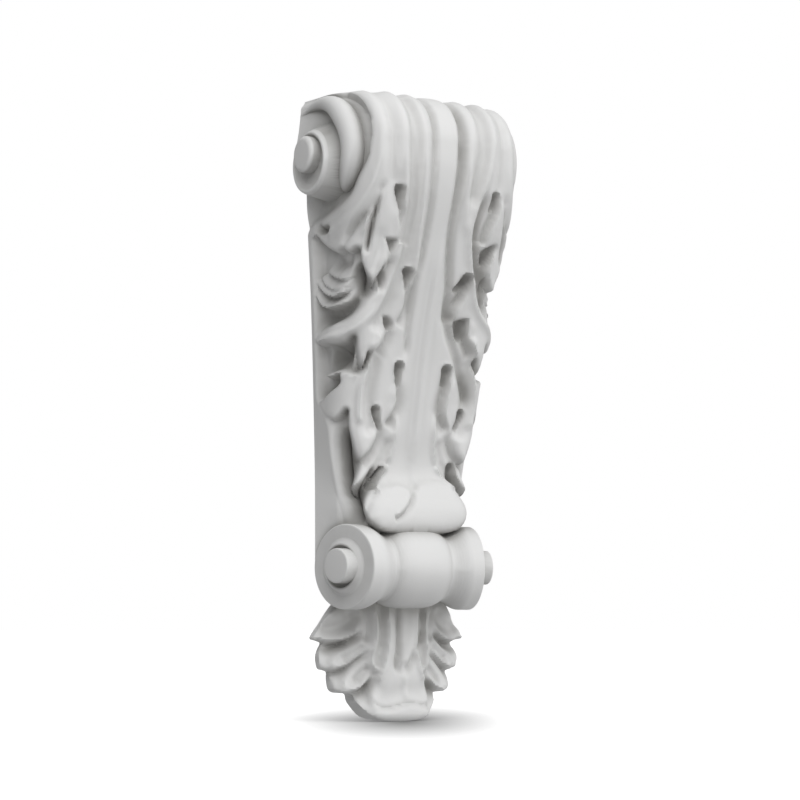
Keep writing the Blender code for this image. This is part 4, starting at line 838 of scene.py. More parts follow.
def carved_points(scroll, volute, roll):
    """Rows of points over the carved front and sides, wall to wall, in millimetres."""
    across, reach, tall = scroll_scales(scroll)
    radius = scroll.nose_radius / MM
    top_up = DRAWN_HEIGHT / 2 - radius / tall + radius * math.pi / 2
    bottom_up = roll.level / MM / tall
    up = np.linspace(top_up, bottom_up, int((top_up - bottom_up) / (scroll.spacing / MM)))
    x, out, level, q, v = leaf_surface(scroll, up)
    surface = np.stack([x * across, -out * reach, level * tall], axis=-1)
    along = np.gradient(surface, axis=1)
    down = np.gradient(surface, axis=0)
    normal = np.cross(down, along)
    normal /= np.linalg.norm(normal, axis=-1, keepdims=True)
    # The flat top keeps its rim level, and the back rim stays on the wall plane
    flat = ease((top_up - v) / 6.0)
    halves = []
    for side, height in zip((-1, 1), carving(scroll, volute, q, v, out, level)):
        half = surface + normal * (height * flat)[..., None]
        half[:, -1, 1] = 0.0
        half[..., 1] = np.minimum(half[..., 1], 0.0)
        half[..., 0] *= side
        halves.append(half)
    middle = (halves[0][:, :1] + halves[1][:, :1]) / 2
    return np.concatenate([halves[0][:, :0:-1], middle, halves[1][:, 1:]], axis=1)


def grid_faces(rows, columns):
    """Four-cornered faces of a grid of points."""
    first = (np.arange(rows - 1)[:, None] * columns + np.arange(columns - 1)[None, :]).ravel()
    return np.stack([first, first + 1, first + columns + 1, first + columns], axis=1).tolist()


def add_form(name, vertices, faces):
    """A new closed form from points in millimetres, its faces turned outwards."""
    mesh = bpy.data.meshes.new(name)
    mesh.from_pydata((np.array(vertices, float) * MM).tolist(), [], faces)
    mesh.validate()
    work = bmesh.new()
    work.from_mesh(mesh)
    bmesh.ops.recalc_face_normals(work, faces=work.faces)
    if work.calc_volume(signed=True) < 0:
        bmesh.ops.reverse_faces(work, faces=work.faces)
    work.to_mesh(mesh)
    work.free()
    made = bpy.data.objects.new(name, mesh)
    bpy.context.scene.collection.objects.link(made)
    return made


def carve_scroll(scroll, volute, roll):
    """The scroll with its leaf: the carved sheet, closed by stock above and behind it."""
    points = carved_points(scroll, volute, roll)
    points = np.concatenate([points[:1] + np.array([0.0, 0.0, BEHIND]), points])
    rows, columns = points.shape[:2]
    vertices = points.reshape(-1, 3).tolist()
    faces = grid_faces(rows, columns)
    last = columns - 1
    behind = []
    for row in range(rows):
        pair = []
        for column in (0, last):
            x, _, z = points[row, column]
            pair.append(len(vertices))
            vertices.append([x, BEHIND, z])
        behind.append(pair)
    for row in range(rows - 1):
        faces.append([row * columns, (row + 1) * columns, behind[row + 1][0], behind[row][0]])
        faces.append([(row + 1) * columns + last, row * columns + last, behind[row][1], behind[row + 1][1]])
        faces.append([behind[row][0], behind[row + 1][0], behind[row + 1][1], behind[row][1]])
    faces.append(list(range(columns)) + [behind[0][1], behind[0][0]])
    foot = (rows - 1) * columns
    faces.append([foot + column for column in range(columns - 1, -1, -1)] + [behind[-1][0], behind[-1][1]])
    return add_form("scroll", vertices, faces)


# Turned forms: how many sides and steps they are turned with, and how full the barrel is

ROLL_SIDES = 96
BUTTON_SIDES = 64
VOLUTE_SIDES = 80
WAIST_STEPS = 16
BARREL_STEPS = 24
BARREL_FULL = 3.4
BEAD_STEPS = 72
BEAD_SIDES = 24


def turned(name, profile, centre, sides, splay=0.0):
    """A form turned about the X axis from (x, radius) pairs, from its -X end to its +X end."""
    turn_x, turn_y, turn_z = centre
    vertices = []
    faces = []
    rings = []
    slant = math.tan(splay)
    widest = max(abs(x) for x, _ in profile)
    for x, radius in profile:
        if radius == 0.0:
            rings.append([len(vertices)])
            vertices.append([turn_x + x, turn_y, turn_z])
            continue
        ring = []
        for number in range(sides):
            angle = 2 * math.pi * (number + 0.5) / sides
            y = radius * math.cos(angle)
            lean = slant * y * x / widest
            ring.append(len(vertices))
            vertices.append([turn_x + x + lean, turn_y + y, turn_z + radius * math.sin(angle)])
        rings.append(ring)
    for ring, following in zip(rings[:-1], rings[1:]):
        for number in range(sides):
            after = (number + 1) % sides
            if len(ring) == 1:
                faces.append([ring[0], following[after], following[number]])
            elif len(following) == 1:
                faces.append([ring[number], ring[after], following[0]])
            else:
                faces.append([ring[number], ring[after], following[after], following[number]])
    return add_form(name, vertices, faces)


def softened(profile, size, steps=4):
    """The (x, radius) profile with its corners rounded to about the size."""
    rounded_profile = [profile[0]]
    for before, corner, after in zip(profile[:-2], profile[1:-1], profile[2:]):
        corner = np.array(corner, float)
        one = np.array(before, float) - corner
        two = np.array(after, float) - corner
        reach = min(size, np.linalg.norm(one) * 0.45, np.linalg.norm(two) * 0.45)
        one = corner + one / max(np.linalg.norm(one), 1e-9) * reach
        two = corner + two / max(np.linalg.norm(two), 1e-9) * reach
        for step in range(steps + 1):
            share = step / steps
            point = (1 - share) ** 2 * one + 2 * share * (1 - share) * corner + share ** 2 * two
            rounded_profile.append((float(point[0]), float(point[1])))
    return rounded_profile + [profile[-1]]


def turn_roll(roll):
    """The turned roll: rims and buttons at its ends, waists, and a barrel in the middle."""
    face = roll.width / MM / 2
    radius = roll.radius / MM
    rim_inner = face - roll.rim_width / MM
    waist = roll.waist_width / MM / 2
    waist_radius = roll.waist_radius / MM
    swell = roll.barrel_radius / MM - waist_radius
    ring = roll.ring_radius / MM
    ring_out = roll.ring_out / MM
    # Half profile: the button's bed, the ring's slope, crest and outer edge, and the rim
    half = softened([(face - 0.4, 0.0), (face - 0.4, ring - 4.6), (face + ring_out, ring - 3.4),
                     (face + ring_out, ring - 2.0), (face, ring + 1.0), (face, radius),
                     (rim_inner, radius)], 1.1)
    # Then the sweep down to the waist and the barrel's swell up to the middle
    for number in range(1, WAIST_STEPS):
        share = number / WAIST_STEPS
        x = rim_inner + (waist - rim_inner) * share
        half.append((x, radius + (waist_radius - radius) * (3 * share ** 2 - 2 * share ** 3)))
    for number in range(1, BARREL_STEPS + 1):
        share = 1.0 - number / BARREL_STEPS
        half.append((waist * share, waist_radius + swell * (1.0 - share ** BARREL_FULL)))
    half = softened(half, 2.4)
    profile = [(-x, r) for x, r in half] + half[-2::-1]
    level = roll.level / MM
    forms = [turned("roll", profile, (0.0, -radius, level), ROLL_SIDES, roll.end_splay)]
    # A button stands on each splayed face, a little forward of the axis
    out = roll.button_out / MM
    button_radius = roll.button_radius / MM
    forward = roll.button_forward / MM
    for side in (-1, 1):
        button = softened([(-SUNK, 0.0), (-SUNK, button_radius), (out, button_radius), (out, 0.0)], 1.4)
        made = turned("button", button, (0.0, 0.0, 0.0), BUTTON_SIDES)
        turn = Matrix.Rotation(-roll.end_splay if side > 0 else math.pi + roll.end_splay, 4, "Z")
        place = Vector((side * (face - forward * math.sin(roll.end_splay)),
                        -radius - forward * math.cos(roll.end_splay), level + roll.button_lift / MM)) * MM
        made.data.transform(Matrix.Translation(place) @ turn)
        forms.append(made)
    return forms


def turn_volute(volute, scroll, side):
    """Ring and eye at the middle of a volute; side is -1 or 1."""
    inner = scroll.top_width / MM / 2 - SUNK
    forms = []
    for name, face, radius, lift, foot, shape, dish, soft in (
            ("ring", volute.ring_face, volute.ring_radius, -volute.ring_drop, RING_FOOT, RING_PROFILE,
             RING_DISH, RING_SOFT),
            ("eye", volute.eye_face, volute.eye_radius, volute.eye_lift, 0.0, EYE_PROFILE, 0.0, EYE_SOFT)):
        face = face / MM
        radius = radius / MM
        profile = [(inner, 0.0), (inner, radius + foot)]
        profile += [(face + out, radius + beyond) for out, beyond in shape]
        profile = softened(profile + [(face - dish, 0.0)], soft)
        if side < 0:
            profile = [(-x, r) for x, r in profile[::-1]]
        centre = (0.0, -volute.out / MM, (volute.level + lift) / MM)
        forms.append(turned(name, profile, centre, VOLUTE_SIDES))
    # The ring leans: its foot sits higher than its face
    length = volute.ring_face - inner * MM
    for vertex in forms[0].data.vertices:
        vertex.co.z += volute.ring_lean * (volute.ring_face - abs(vertex.co.x)) / length
    return forms


def wind_bead(volute, scroll, side):
    """The tapering bead that winds over the volute's field, as a tube with closed ends."""
    steps = BEAD_STEPS
    sides = BEAD_SIDES
    vertices = []
    faces = []
    for step in range(steps + 1):
        share = step / steps
        angle = math.radians(BEAD_START - BEAD_SWEEP * share)
        turn = (volute.bead_turn + volute.bead_spread * (1.0 - share) ** 1.2) / MM
        grow = ease(np.array(share * 2.0 + 0.05)).item()
        radius = BEAD_THIN + (volute.bead_radius / MM - BEAD_THIN) * grow
        past = max((share - BEAD_END) / (1.0 - BEAD_END), 0.0)
        radius *= math.sqrt(max(1.0 - past ** 1.6, 0.01))
        out = volute.out / MM + turn * math.cos(angle)
        level = volute.level / MM + turn * math.sin(angle)
        climb = ease(np.array((math.degrees(angle) + 20.0) / 250.0)).item()
        field = volute.bead_climb / MM * climb - volute.field_drop / MM
        x = side * (scroll.top_width / MM / 2 - BEAD_SUNK + field + BEAD_PROUD * radius)
        for number in range(sides):
            bend = 2 * math.pi * number / sides
            aside = radius * math.cos(bend)
            vertices.append([x + radius * math.sin(bend), -(out + aside * math.cos(angle)),
                             level + aside * math.sin(angle)])
    for step in range(steps):
        for number in range(sides):
            after = (number + 1) % sides
            first = step * sides
            faces.append([first + number, first + after, first + sides + after, first + sides + number])
    faces.append(list(range(sides - 1, -1, -1)))
    faces.append([steps * sides + number for number in range(sides)])
    return add_form("bead", vertices, faces)


# The hanging leaf

def hanging_depth(leaf, x, z):
    """Depth of the hanging leaf's face at a place on the wall, as drawn."""
    q = np.abs(x)
    reach = np.clip(1.0 - (q / DROP_CROWN) ** 2, 0.0, 1.0)
    depth = leaf.edge / MM + (leaf.out - leaf.edge) / MM * reach ** 1.3
    for line, height, width, ends in DROP_RIDGES:
        depth = depth + ridge(q, z, line, height, width, ends)
    for line, first, last, drop in DROP_EDGES:
        depth = depth + leaf_edge(q, z, line, first, last, drop)
    for line, height, width in FORK:
        depth = depth + ridge(x, z, line, height, width, FORK_FADE)
    # Above the crease the tongue is hollow, below it the tip curls over
    away, _ = to_line(x, z, through(TIP_CREASE))
    above = np.maximum(away, 0.0)
    below = np.maximum(-away, 0.0)
    on_tip = ease((TIP_HALF - q) / TIP_OVER)
    hollow = (HOLLOW_DEPTH * np.exp(-((above - HOLLOW_UP) / HOLLOW_HALF) ** 2)
              + CREASE_DEPTH * np.exp(-(away / CREASE_WIDTH) ** 2))
    depth = depth - on_tip * hollow
    depth = depth + on_tip * leaf.tip_out / MM * rounded(below, CURL_ROUND) * (away < 0)
    return depth - TIP_TURN * (1.0 - rounded(z + TIP_LOW, TIP_TURN)) * on_tip


def carve_hanging_leaf(leaf, scroll):
    """The hanging leaf: a carved block cut to the leaf's outline."""
    across, reach, tall = scroll_scales(scroll)
    spacing = scroll.spacing / MM
    half = through(DROP_OUTLINE, 3)
    outline = np.vstack([half, half[::-1][1:] * np.array([-1.0, 1.0])])
    columns = int(2 * DROP_HALF / spacing)
    rows = int(DROP_TALL / spacing)
    x, z = np.meshgrid(np.linspace(-DROP_HALF, DROP_HALF, columns),
                       np.linspace(leaf.top / MM, DROP_LOW, rows))
    depth = hanging_depth(leaf, x, z)
    edge = inside(x, z, outline)
    worn = DROP_EDGE_SHARE * (1.0 - rounded(edge + 0.4, DROP_EDGE))
    depth = np.maximum(depth, DROP_LEAST) - leaf.edge / MM * worn
    points = np.stack([x * across, -depth * reach, z * tall], axis=-1)
    vertices = points.reshape(-1, 3).tolist()
    faces = grid_faces(rows, columns)
    rim = list(range(columns - 1))
    rim += [row * columns + columns - 1 for row in range(rows - 1)]
    rim += [(rows - 1) * columns + column for column in range(columns - 1, 0, -1)]
    rim += [row * columns for row in range(rows - 1, 0, -1)]
    rear = []
    for spot in rim:
        rear.append(len(vertices))
        vertices.append([vertices[spot][0], BEHIND, vertices[spot][2]])
    count = len(rim)
    for number in range(count):
        after = (number + 1) % count
        faces.append([rim[after], rim[number], rear[number], rear[after]])
    faces.append(rear)
    block = add_form("hanging leaf", vertices, faces)
    flat = outline * np.array([across, tall])
    count = len(flat)
    front = -scroll.projection / MM
    vertices = [[x, front, z] for x, z in flat] + [[x, 2 * BEHIND, z] for x, z in flat]
    faces = [list(range(count)), list(range(2 * count - 1, count - 1, -1))]
    for number in range(count):
        after = (number + 1) % count
        faces.append([number, number + count, after + count, after])
    return combine(block, [add_form("leaf outline", vertices, faces)], "INTERSECT")


# Joining the forms

def combine(made, others, operation):
    """Join to, cut from or keep in common with the others, which are used up."""
    for other in others:
        join = made.modifiers.new(operation.lower(), "BOOLEAN")
        join.operation = operation
        join.solver = "MANIFOLD"
        join.object = other
    bpy.context.view_layer.update()
    shown = made.evaluated_get(bpy.context.evaluated_depsgraph_get())
    mesh = bpy.data.meshes.new_from_object(shown)
    if not mesh.polygons:
        raise RuntimeError("nothing was left of the " + made.name)
    made.modifiers.clear()
    made.data = mesh
    for other in others:
        bpy.data.objects.remove(other)
    return made


def room_under_shelf(scroll):
    """All the space in front of the wall and under the shelf."""
    wide = scroll.top_width / MM * 2
    front = -scroll.projection / MM * 2
    low = -scroll.height / MM
    top = scroll.height / MM / 2
    vertices = [[x, y, z] for x in (-wide, wide) for y in (front, 0.0) for z in (low, top)]
    faces = [[0, 1, 3, 2], [4, 6, 7, 5], [0, 4, 5, 1], [2, 3, 7, 6], [0, 2, 6, 4], [1, 5, 7, 3]]
    return add_form("room", vertices, faces)


# Where the painted shade lies: the plaster's colour is darkened in recesses and creases

SHELTER_RAYS = 16       # rays cast from each point
SHELTER_REACH = 0.060   # how far they reach, in metres
SHELTER_FROM = 0.02     # share of them that is shut off where the painted shade starts
SHELTER_FULL = 0.38     # and where it is full
RAY_LIFT = 0.4          # they start this far off the surface
RAY_TURN = 2.399963     # turn from one ray to the next
POINT_TURN = 0.7548777  # and from one point to the next, in whole turns
CREASE_FULL = 2.2       # depth of a crease that gets the full painted shade
CREASE_SHARE = 0.7      # and how much of the painted shade it then holds
BACK_UNSHADED = 0.3        # the flat back, to this far in front of the wall, gets no painted shade


def sheltered(place, normal, faces):
    """How much the casting shuts off the room in front of each point, from 0 to 1."""
    tree = BVHTree.FromPolygons(place.tolist(), faces)
    count = len(place)
    number = np.arange(SHELTER_RAYS)
    lean = np.sqrt((number + 0.5) / SHELTER_RAYS)
    turn = number * RAY_TURN + (np.arange(count) * POINT_TURN % 1.0 * 2.0 * math.pi)[:, None]
    aside = np.cross(normal, np.where(np.abs(normal[:, 2:]) < 0.9, [[0.0, 0.0, 1.0]], [[1.0, 0.0, 0.0]]))
    aside /= np.linalg.norm(aside, axis=1)[:, None]
    other = np.cross(normal, aside)
    ways = ((lean * np.cos(turn))[..., None] * aside[:, None]
            + (lean * np.sin(turn))[..., None] * other[:, None]
            + np.sqrt(1.0 - lean ** 2)[None, :, None] * normal[:, None]).tolist()
    starts = (place + normal * RAY_LIFT * MM).tolist()
    shut = np.zeros(count)
    for index, (start, fan) in enumerate(zip(starts, ways)):
        total = 0.0
        for way in fan:
            away = tree.ray_cast(start, way, SHELTER_REACH)[3]
            if away is not None:
                total += 1.0 - away / SHELTER_REACH
        shut[index] = total / SHELTER_RAYS
    return shut


def mark_recesses(made):
    """Store how deep each point lies in a recess or crease, from 0 on open faces to 1, as "recess", which
    sets the plaster's painted shade.
    """
    mesh = made.data
    count = len(mesh.vertices)
    place = np.empty(count * 3)
    mesh.vertices.foreach_get("co", place)
    place = place.reshape(-1, 3)
    normal = np.empty(count * 3, np.float32)
    mesh.vertex_normals.foreach_get("vector", normal)
    normal = normal.reshape(-1, 3).astype(float)
    ends = np.empty(len(mesh.edges) * 2, int)
    mesh.edges.foreach_get("vertices", ends)
    ends = ends.reshape(-1, 2)
    near = np.bincount(ends.ravel(), minlength=count).astype(float)

    def averaged(values, rounds):
        """Values spread to their neighbours a number of times."""
        for _ in range(rounds):
            total = (np.bincount(ends[:, 0], values[ends[:, 1]], count)
                     + np.bincount(ends[:, 1], values[ends[:, 0]], count))
            values = 0.5 * values + 0.5 * total / near
        return values

    # Smoothing the surface finds the fine creases
    smooth = np.stack([averaged(place[:, axis], 24) for axis in range(3)], axis=1)
    crease = np.clip(((smooth - place) * normal).sum(axis=1) / MM / CREASE_FULL, 0.0, 1.0)
    shelter = averaged(sheltered(place, normal, [tuple(face.vertices) for face in mesh.polygons]), 4)
    shut = np.clip((shelter - SHELTER_FROM) / (SHELTER_FULL - SHELTER_FROM), 0.0, 1.0)
    recess = np.maximum(CREASE_SHARE * crease, shut)
    recess = np.where(place[:, 1] > -BACK_UNSHADED * MM, 0.0, recess)
    marks = mesh.attributes.new("recess", "FLOAT", "POINT")
    marks.data.foreach_set("value", recess.astype(np.float32))


# The plaster

class Socket:
    """A socket or number in a shader, so that shader maths reads as Python."""

    def __init__(self, tree, value):
        self.tree = tree
        self.value = value

    def node(self, kind, settings=None, **inputs):
        """A new node of a type, its settings first, then the values or links of its sockets."""
        made = self.tree.nodes.new(kind)
        for name, setting in (settings or {}).items():
            if name == "stops":
                while len(made.color_ramp.elements) < len(setting):
                    made.color_ramp.elements.new(0.5)
                for element, (position, colour) in zip(made.color_ramp.elements, setting):
                    element.position = position
                    element.color = colour
            else:
                setattr(made, name, setting)
        for name, value in inputs.items():
            key = int(name[1:]) if name[0] == "n" and name[1:].isdigit() else name.replace("_", " ")
            if isinstance(value, Socket):
                value = value.value
            if isinstance(value, bpy.types.NodeSocket):
                self.tree.links.new(value, made.inputs[key])
            else:
                made.inputs[key].default_value = value
        return made

    def wrap(self, value):
        """A socket or number of the same shader."""
        return Socket(self.tree, value)

    def maths(self, operation, one, two, clamp=False):
        """A Math node on two values."""
        made = self.node("ShaderNodeMath", {"operation": operation, "use_clamp": clamp}, n0=one, n1=two)
        return self.wrap(made.outputs[0])

    def __add__(self, other):
        return self.maths("ADD", self, other)

    def __radd__(self, other):
        return self.maths("ADD", other, self)

    def __sub__(self, other):
        return self.maths("SUBTRACT", self, other)

    def __rsub__(self, other):
        return self.maths("SUBTRACT", other, self)

    def __mul__(self, other):
        return self.maths("MULTIPLY", self, other)

    def __rmul__(self, other):
        return self.maths("MULTIPLY", other, self)

    def __pow__(self, other):
        return self.maths("POWER", self, other)

    def clamped(self):
        """Kept between 0 and 1."""
        return self.maths("ADD", self, 0.0, clamp=True)

    def mixed(self, one, two):
        """The first colour where this is 0, the second where it is 1."""
        made = self.node("ShaderNodeMix", {"data_type": "RGBA"}, Factor=self, n6=one, n7=two)
        return self.wrap(made.outputs[2])


def cast_plaster(look):
    """White cast plaster: fine grain, a soft mottle, and painted shade that darkens its recesses and creases.
    """
    material = bpy.data.materials.new("cast plaster")
    material.use_nodes = True
    tree = material.node_tree
    shader = tree.nodes["Principled BSDF"]
    start = Socket(tree, None)
    place = start.wrap(start.node("ShaderNodeTexCoord").outputs["Object"])

    def noise(scale, detail, roughness):
        made = place.node("ShaderNodeTexNoise", None, Vector=place, Scale=scale, Detail=detail,
                          Roughness=roughness)
        return place.wrap(made.outputs["Fac"])

    recess = start.wrap(start.node("ShaderNodeAttribute", {"attribute_name": "recess"}).outputs["Fac"])
    # Noise at three sizes, per metre: soft clouds, specks and the fine grain
    cloud = noise(26.0, 4.0, 0.55)
    speck = noise(900.0, 2.0, 0.6)
    grain = noise(2600.0, 3.0, 0.65)
    # Painted shade: the colour darkens, unevenly, in the recesses and creases where shade falls
    shade_share = (recess * (0.7 + cloud * 0.6) * look.painted_shade_amount).clamped()
    shade = ((cloud - 0.5) * look.mottle + (speck - 0.5) * look.mottle * 0.6 + 0.5).clamped()
    light = tuple(min(channel * 1.05, 1.0) for channel in look.colour) + (1.0,)
    dark = tuple(channel * 0.95 for channel in look.colour) + (1.0,)
    bare = shade.mixed(dark, light)
    # The bare plaster turns towards the painted shade's colour in the recesses and creases
    colour = shade_share.mixed(bare, tuple(look.painted_shade) + (1.0,))
    tree.links.new(colour.value, shader.inputs["Base Color"])
    rough = look.roughness + (cloud - 0.5) * 0.16 + recess * 0.2 + (grain - 0.5) * 0.1
    tree.links.new(rough.clamped().value, shader.inputs["Roughness"])
    shader.inputs["Specular IOR Level"].default_value = 0.35
    height = grain * 0.5 + speck * 0.9
    bump = height.node("ShaderNodeBump", None, Strength=0.55, Distance=look.grain, Height=height)
    tree.links.new(bump.outputs["Normal"], shader.inputs["Normal"])
    return material


# Operators

FORM_KEY = "corbel_form"


def keep_as_form(*forms):
    """Mark forms that the casting is joined from."""
    for form in forms:
        form[FORM_KEY] = True


class CORBEL_OT_carve_scroll(bpy.types.Operator):
    """Carve the scroll block with its large leaf"""
    bl_idname = "corbel.carve_scroll"
    bl_label = "Carve scroll"

    def execute(self, context):
        scene = context.scene
        keep_as_form(carve_scroll(scene.corbel_scroll, scene.corbel_volute, scene.corbel_roll))
        return {"FINISHED"}


class CORBEL_OT_wind_volutes(bpy.types.Operator):
    """Turn the ring and eye of each volute and wind its bead"""
    bl_idname = "corbel.wind_volutes"
    bl_label = "Wind volutes"

    def execute(self, context):
        scene = context.scene
        for side in (-1, 1):
            keep_as_form(*turn_volute(scene.corbel_volute, scene.corbel_scroll, side))
            keep_as_form(wind_bead(scene.corbel_volute, scene.corbel_scroll, side))
        return {"FINISHED"}


class CORBEL_OT_turn_roll(bpy.types.Operator):
    """Turn the roll with its rims, buttons and barrel"""
    bl_idname = "corbel.turn_roll"
    bl_label = "Turn roll"

    def execute(self, context):
        keep_as_form(*turn_roll(context.scene.corbel_roll))
        return {"FINISHED"}


class CORBEL_OT_carve_hanging_leaf(bpy.types.Operator):
    """Carve the small leaf that hangs under the roll"""
    bl_idname = "corbel.carve_hanging_leaf"
    bl_label = "Carve hanging leaf"

    def execute(self, context):
        keep_as_form(carve_hanging_leaf(context.scene.corbel_hanging_leaf, context.scene.corbel_scroll))
        return {"FINISHED"}


class CORBEL_OT_cast(bpy.types.Operator):
    """Join the forms into one casting, cut it flat at the wall and the top, and finish it in plaster"""
    bl_idname = "corbel.cast"
    bl_label = "Cast in plaster"

    def execute(self, context):
        scene = context.scene
        forms = [each for each in scene.objects if each.get(FORM_KEY)]
        scroll = next((each for each in forms if each.name.startswith("scroll")), None)
        if scroll is None:
            raise RuntimeError("the scroll has to be carved before the corbel is cast")
        forms.remove(scroll)
        combine(scroll, forms, "UNION")
        casting = combine(scroll, [room_under_shelf(scene.corbel_scroll)], "INTERSECT")
        del casting[FORM_KEY]
        casting.name = "corbel_casting"
        casting.data.name = "corbel_casting"
        casting.data.shade_smooth()
        casting.data.set_sharp_from_angle(angle=math.radians(42))
        # Mark where the plaster gets painted shade: its recesses and creases
        mark_recesses(casting)
        casting.data.materials.clear()
        casting.data.materials.append(cast_plaster(scene.corbel_plaster))
        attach(casting, "root")
        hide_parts("corbel")
        return {"FINISHED"}


# Where the key light and the fill lights come from, and the fills' shares of the fill
KEY_FROM = (0.10, -0.60, 0.75)
FILLS = (
    ("top fill", (0.0, -0.25, 1.0), 0.6),
    ("low fill", (0.1, -0.75, -0.6), 1.2),
    ("right fill", (0.75, -0.65, 0.2), 0.5),
    ("left fill", (-0.6, -0.5, 0.65), 0.2),
)
# Where the soft lamp hangs, and what it points at
LAMP_AT = (-0.50, -0.50, 0.55)
LAMP_TO = (-0.03, -0.04, 0.12)
# The floor's colour, and the colour of a shadow painted on it under the corbel, in an ellipse that is longer
# away from the camera than across
FLOOR_PALE = (0.70, 0.70, 0.70, 1.0)
FLOOR_SHADED = (0.25, 0.25, 0.25, 1.0)
SHADE_SQUEEZE = (1.0, 0.3, 0.0)
BLACK = (0.0, 0.0, 0.0, 1.0)
WHITE = (1.0, 1.0, 1.0, 1.0)


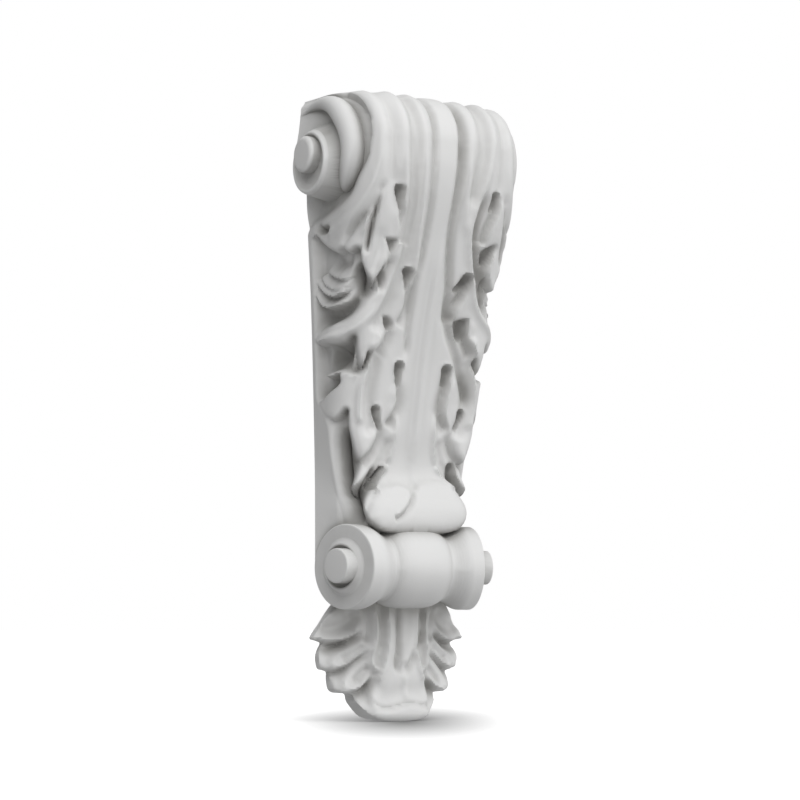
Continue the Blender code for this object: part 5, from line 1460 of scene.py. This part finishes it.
class CORBEL_OT_set_studio(bpy.types.Operator):
    """Lay the pale floor, set the soft lights and stand the camera at the photograph's angle"""
    bl_idname = "corbel.set_studio"
    bl_label = "Set studio"

    def execute(self, context):
        scene = context.scene
        studio = scene.corbel_studio
        # Floor, touched by the tip of the hanging leaf and turned square to the camera
        half = studio.floor_width / 2
        level = CAD_BOX[0][2]
        mesh = bpy.data.meshes.new("floor")
        mesh.from_pydata([(-half, -half, 0.0), (half, -half, 0.0), (half, half, 0.0), (-half, half, 0.0)],
                         [], [(0, 1, 2, 3)])
        floor = bpy.data.objects.new("floor", mesh)
        floor.location = (0.0, -scene.corbel_hanging_leaf.out, level)
        floor.rotation_euler.z = -studio.azimuth
        scene.collection.objects.link(floor)
        floor.visible_diffuse = False
        paint = bpy.data.materials.new("pale floor")
        paint.use_nodes = True
        shader = paint.node_tree.nodes["Principled BSDF"]
        shader.inputs["Roughness"].default_value = 0.9
        shader.inputs["Specular IOR Level"].default_value = 0.0
        # Painted shadow: round the leaf's tip the glow that keeps the floor pale fades out and the floor's
        # colour darkens
        start = Socket(paint.node_tree, None)
        spot = start.node("ShaderNodeTexCoord").outputs["Object"]
        squeezed = start.node("ShaderNodeVectorMath", {"operation": "MULTIPLY"}, n0=spot, n1=SHADE_SQUEEZE)
        length = start.node("ShaderNodeVectorMath", {"operation": "LENGTH"}, Vector=squeezed.outputs[0])
        clear = (start.wrap(length.outputs["Value"]) * (1.0 / studio.painted_shadow_reach)).clamped()
        glow = clear.mixed(BLACK, WHITE)
        paint.node_tree.links.new(glow.value, shader.inputs["Emission Color"])
        pale = clear.mixed(FLOOR_SHADED, FLOOR_PALE)
        paint.node_tree.links.new(pale.value, shader.inputs["Base Color"])
        shader.inputs["Emission Strength"].default_value = studio.floor_glow
        mesh.materials.append(paint)
        # A white room that lights softly and looks white
        world = bpy.data.worlds.new("white room")
        scene.world = world
        world.use_nodes = True
        tree = world.node_tree
        tree.nodes.remove(tree.nodes["Background"])
        start = Socket(tree, None)
        seen = start.node("ShaderNodeLightPath").outputs["Is Camera Ray"]
        lit = start.node("ShaderNodeBackground", None, Color=WHITE, Strength=studio.ambient).outputs[0]
        white = start.node("ShaderNodeBackground", None, Color=WHITE, Strength=1.0).outputs[0]
        room = start.node("ShaderNodeMixShader", None, n0=seen, n1=lit, n2=white).outputs[0]
        tree.links.new(room, tree.nodes["World Output"].inputs["Surface"])
        lamps = [("key", KEY_FROM, studio.key, studio.key_width)]
        for name, direction, share in FILLS:
            lamps.append((name, direction, studio.fill * share, studio.fill_width))
        for name, direction, power, width in lamps:
            lamp = bpy.data.lights.new(name, "SUN")
            lamp.energy = power
            lamp.angle = width
            made = bpy.data.objects.new(name, lamp)
            made.rotation_euler = Vector(direction).to_track_quat("Z", "Y").to_euler()
            scene.collection.objects.link(made)
        lamp = bpy.data.lights.new("lamp", "AREA")
        lamp.energy = studio.lamp
        lamp.size = studio.lamp_size
        made = bpy.data.objects.new("lamp", lamp)
        made.location = LAMP_AT
        made.rotation_euler = (Vector(LAMP_AT) - Vector(LAMP_TO)).to_track_quat("Z", "Y").to_euler()
        scene.collection.objects.link(made)
        # Camera
        turn = studio.azimuth
        pitch = studio.pitch
        right = Vector((math.cos(turn), -math.sin(turn), 0.0))
        level_ahead = Vector((math.sin(turn), math.cos(turn), 0.0))
        upright = Vector((0.0, 0.0, 1.0))
        ahead = level_ahead * math.cos(pitch) + upright * math.sin(pitch)
        above = -level_ahead * math.sin(pitch) + upright * math.cos(pitch)
        place = -level_ahead * studio.distance + right * studio.aside + upright * studio.camera_level
        lens = bpy.data.cameras.new("camera")
        lens.sensor_width = 36.0
        lens.lens = studio.focal * lens.sensor_width
        lens.clip_start = 0.05
        lens.clip_end = 50.0
        camera = bpy.data.objects.new("camera", lens)
        camera.matrix_world = Matrix.Translation(place) @ Matrix((right, above, -ahead)).transposed().to_4x4()
        scene.collection.objects.link(camera)
        scene.camera = camera
        scene.view_settings.view_transform = "Standard"
        return {"FINISHED"}


GROUPS = {
    "corbel_scroll": CorbelScroll,
    "corbel_volute": CorbelVolute,
    "corbel_roll": CorbelRoll,
    "corbel_hanging_leaf": CorbelHangingLeaf,
    "corbel_plaster": CorbelPlaster,
    "corbel_studio": CorbelStudio,
}
OPERATORS = (CORBEL_OT_carve_scroll, CORBEL_OT_wind_volutes, CORBEL_OT_turn_roll,
             CORBEL_OT_carve_hanging_leaf, CORBEL_OT_cast, CORBEL_OT_set_studio)


class CORBEL_PT_panel(bpy.types.Panel):
    """Lists the steps and their sizes"""
    bl_idname = "CORBEL_PT_panel"
    bl_label = "Corbel"
    bl_space_type = "VIEW_3D"
    bl_region_type = "UI"
    bl_category = "Corbel"

    def draw(self, context):
        for operator in OPERATORS:
            self.layout.operator(operator.bl_idname)
        for name in GROUPS:
            group = getattr(context.scene, name)
            box = self.layout.box()
            for prop in group.bl_rna.properties:
                if prop.identifier not in ("rna_type", "name"):
                    box.prop(group, prop.identifier)


def register():
    for group in GROUPS.values():
        bpy.utils.register_class(group)
    for name, group in GROUPS.items():
        setattr(bpy.types.Scene, name, bpy.props.PointerProperty(type=group))
    for kind in OPERATORS + (CORBEL_PT_panel,):
        bpy.utils.register_class(kind)


def unregister():
    for kind in reversed(OPERATORS + (CORBEL_PT_panel,)):
        bpy.utils.unregister_class(kind)
    for name in GROUPS:
        delattr(bpy.types.Scene, name)
    for group in reversed(list(GROUPS.values())):
        bpy.utils.unregister_class(group)


def main():
    register()
    bpy.ops.corbel.carve_scroll()
    bpy.ops.corbel.wind_volutes()
    bpy.ops.corbel.turn_roll()
    bpy.ops.corbel.carve_hanging_leaf()
    bpy.ops.corbel.cast()
    bpy.ops.corbel.set_studio()


if __name__ == "__main__":
    main()
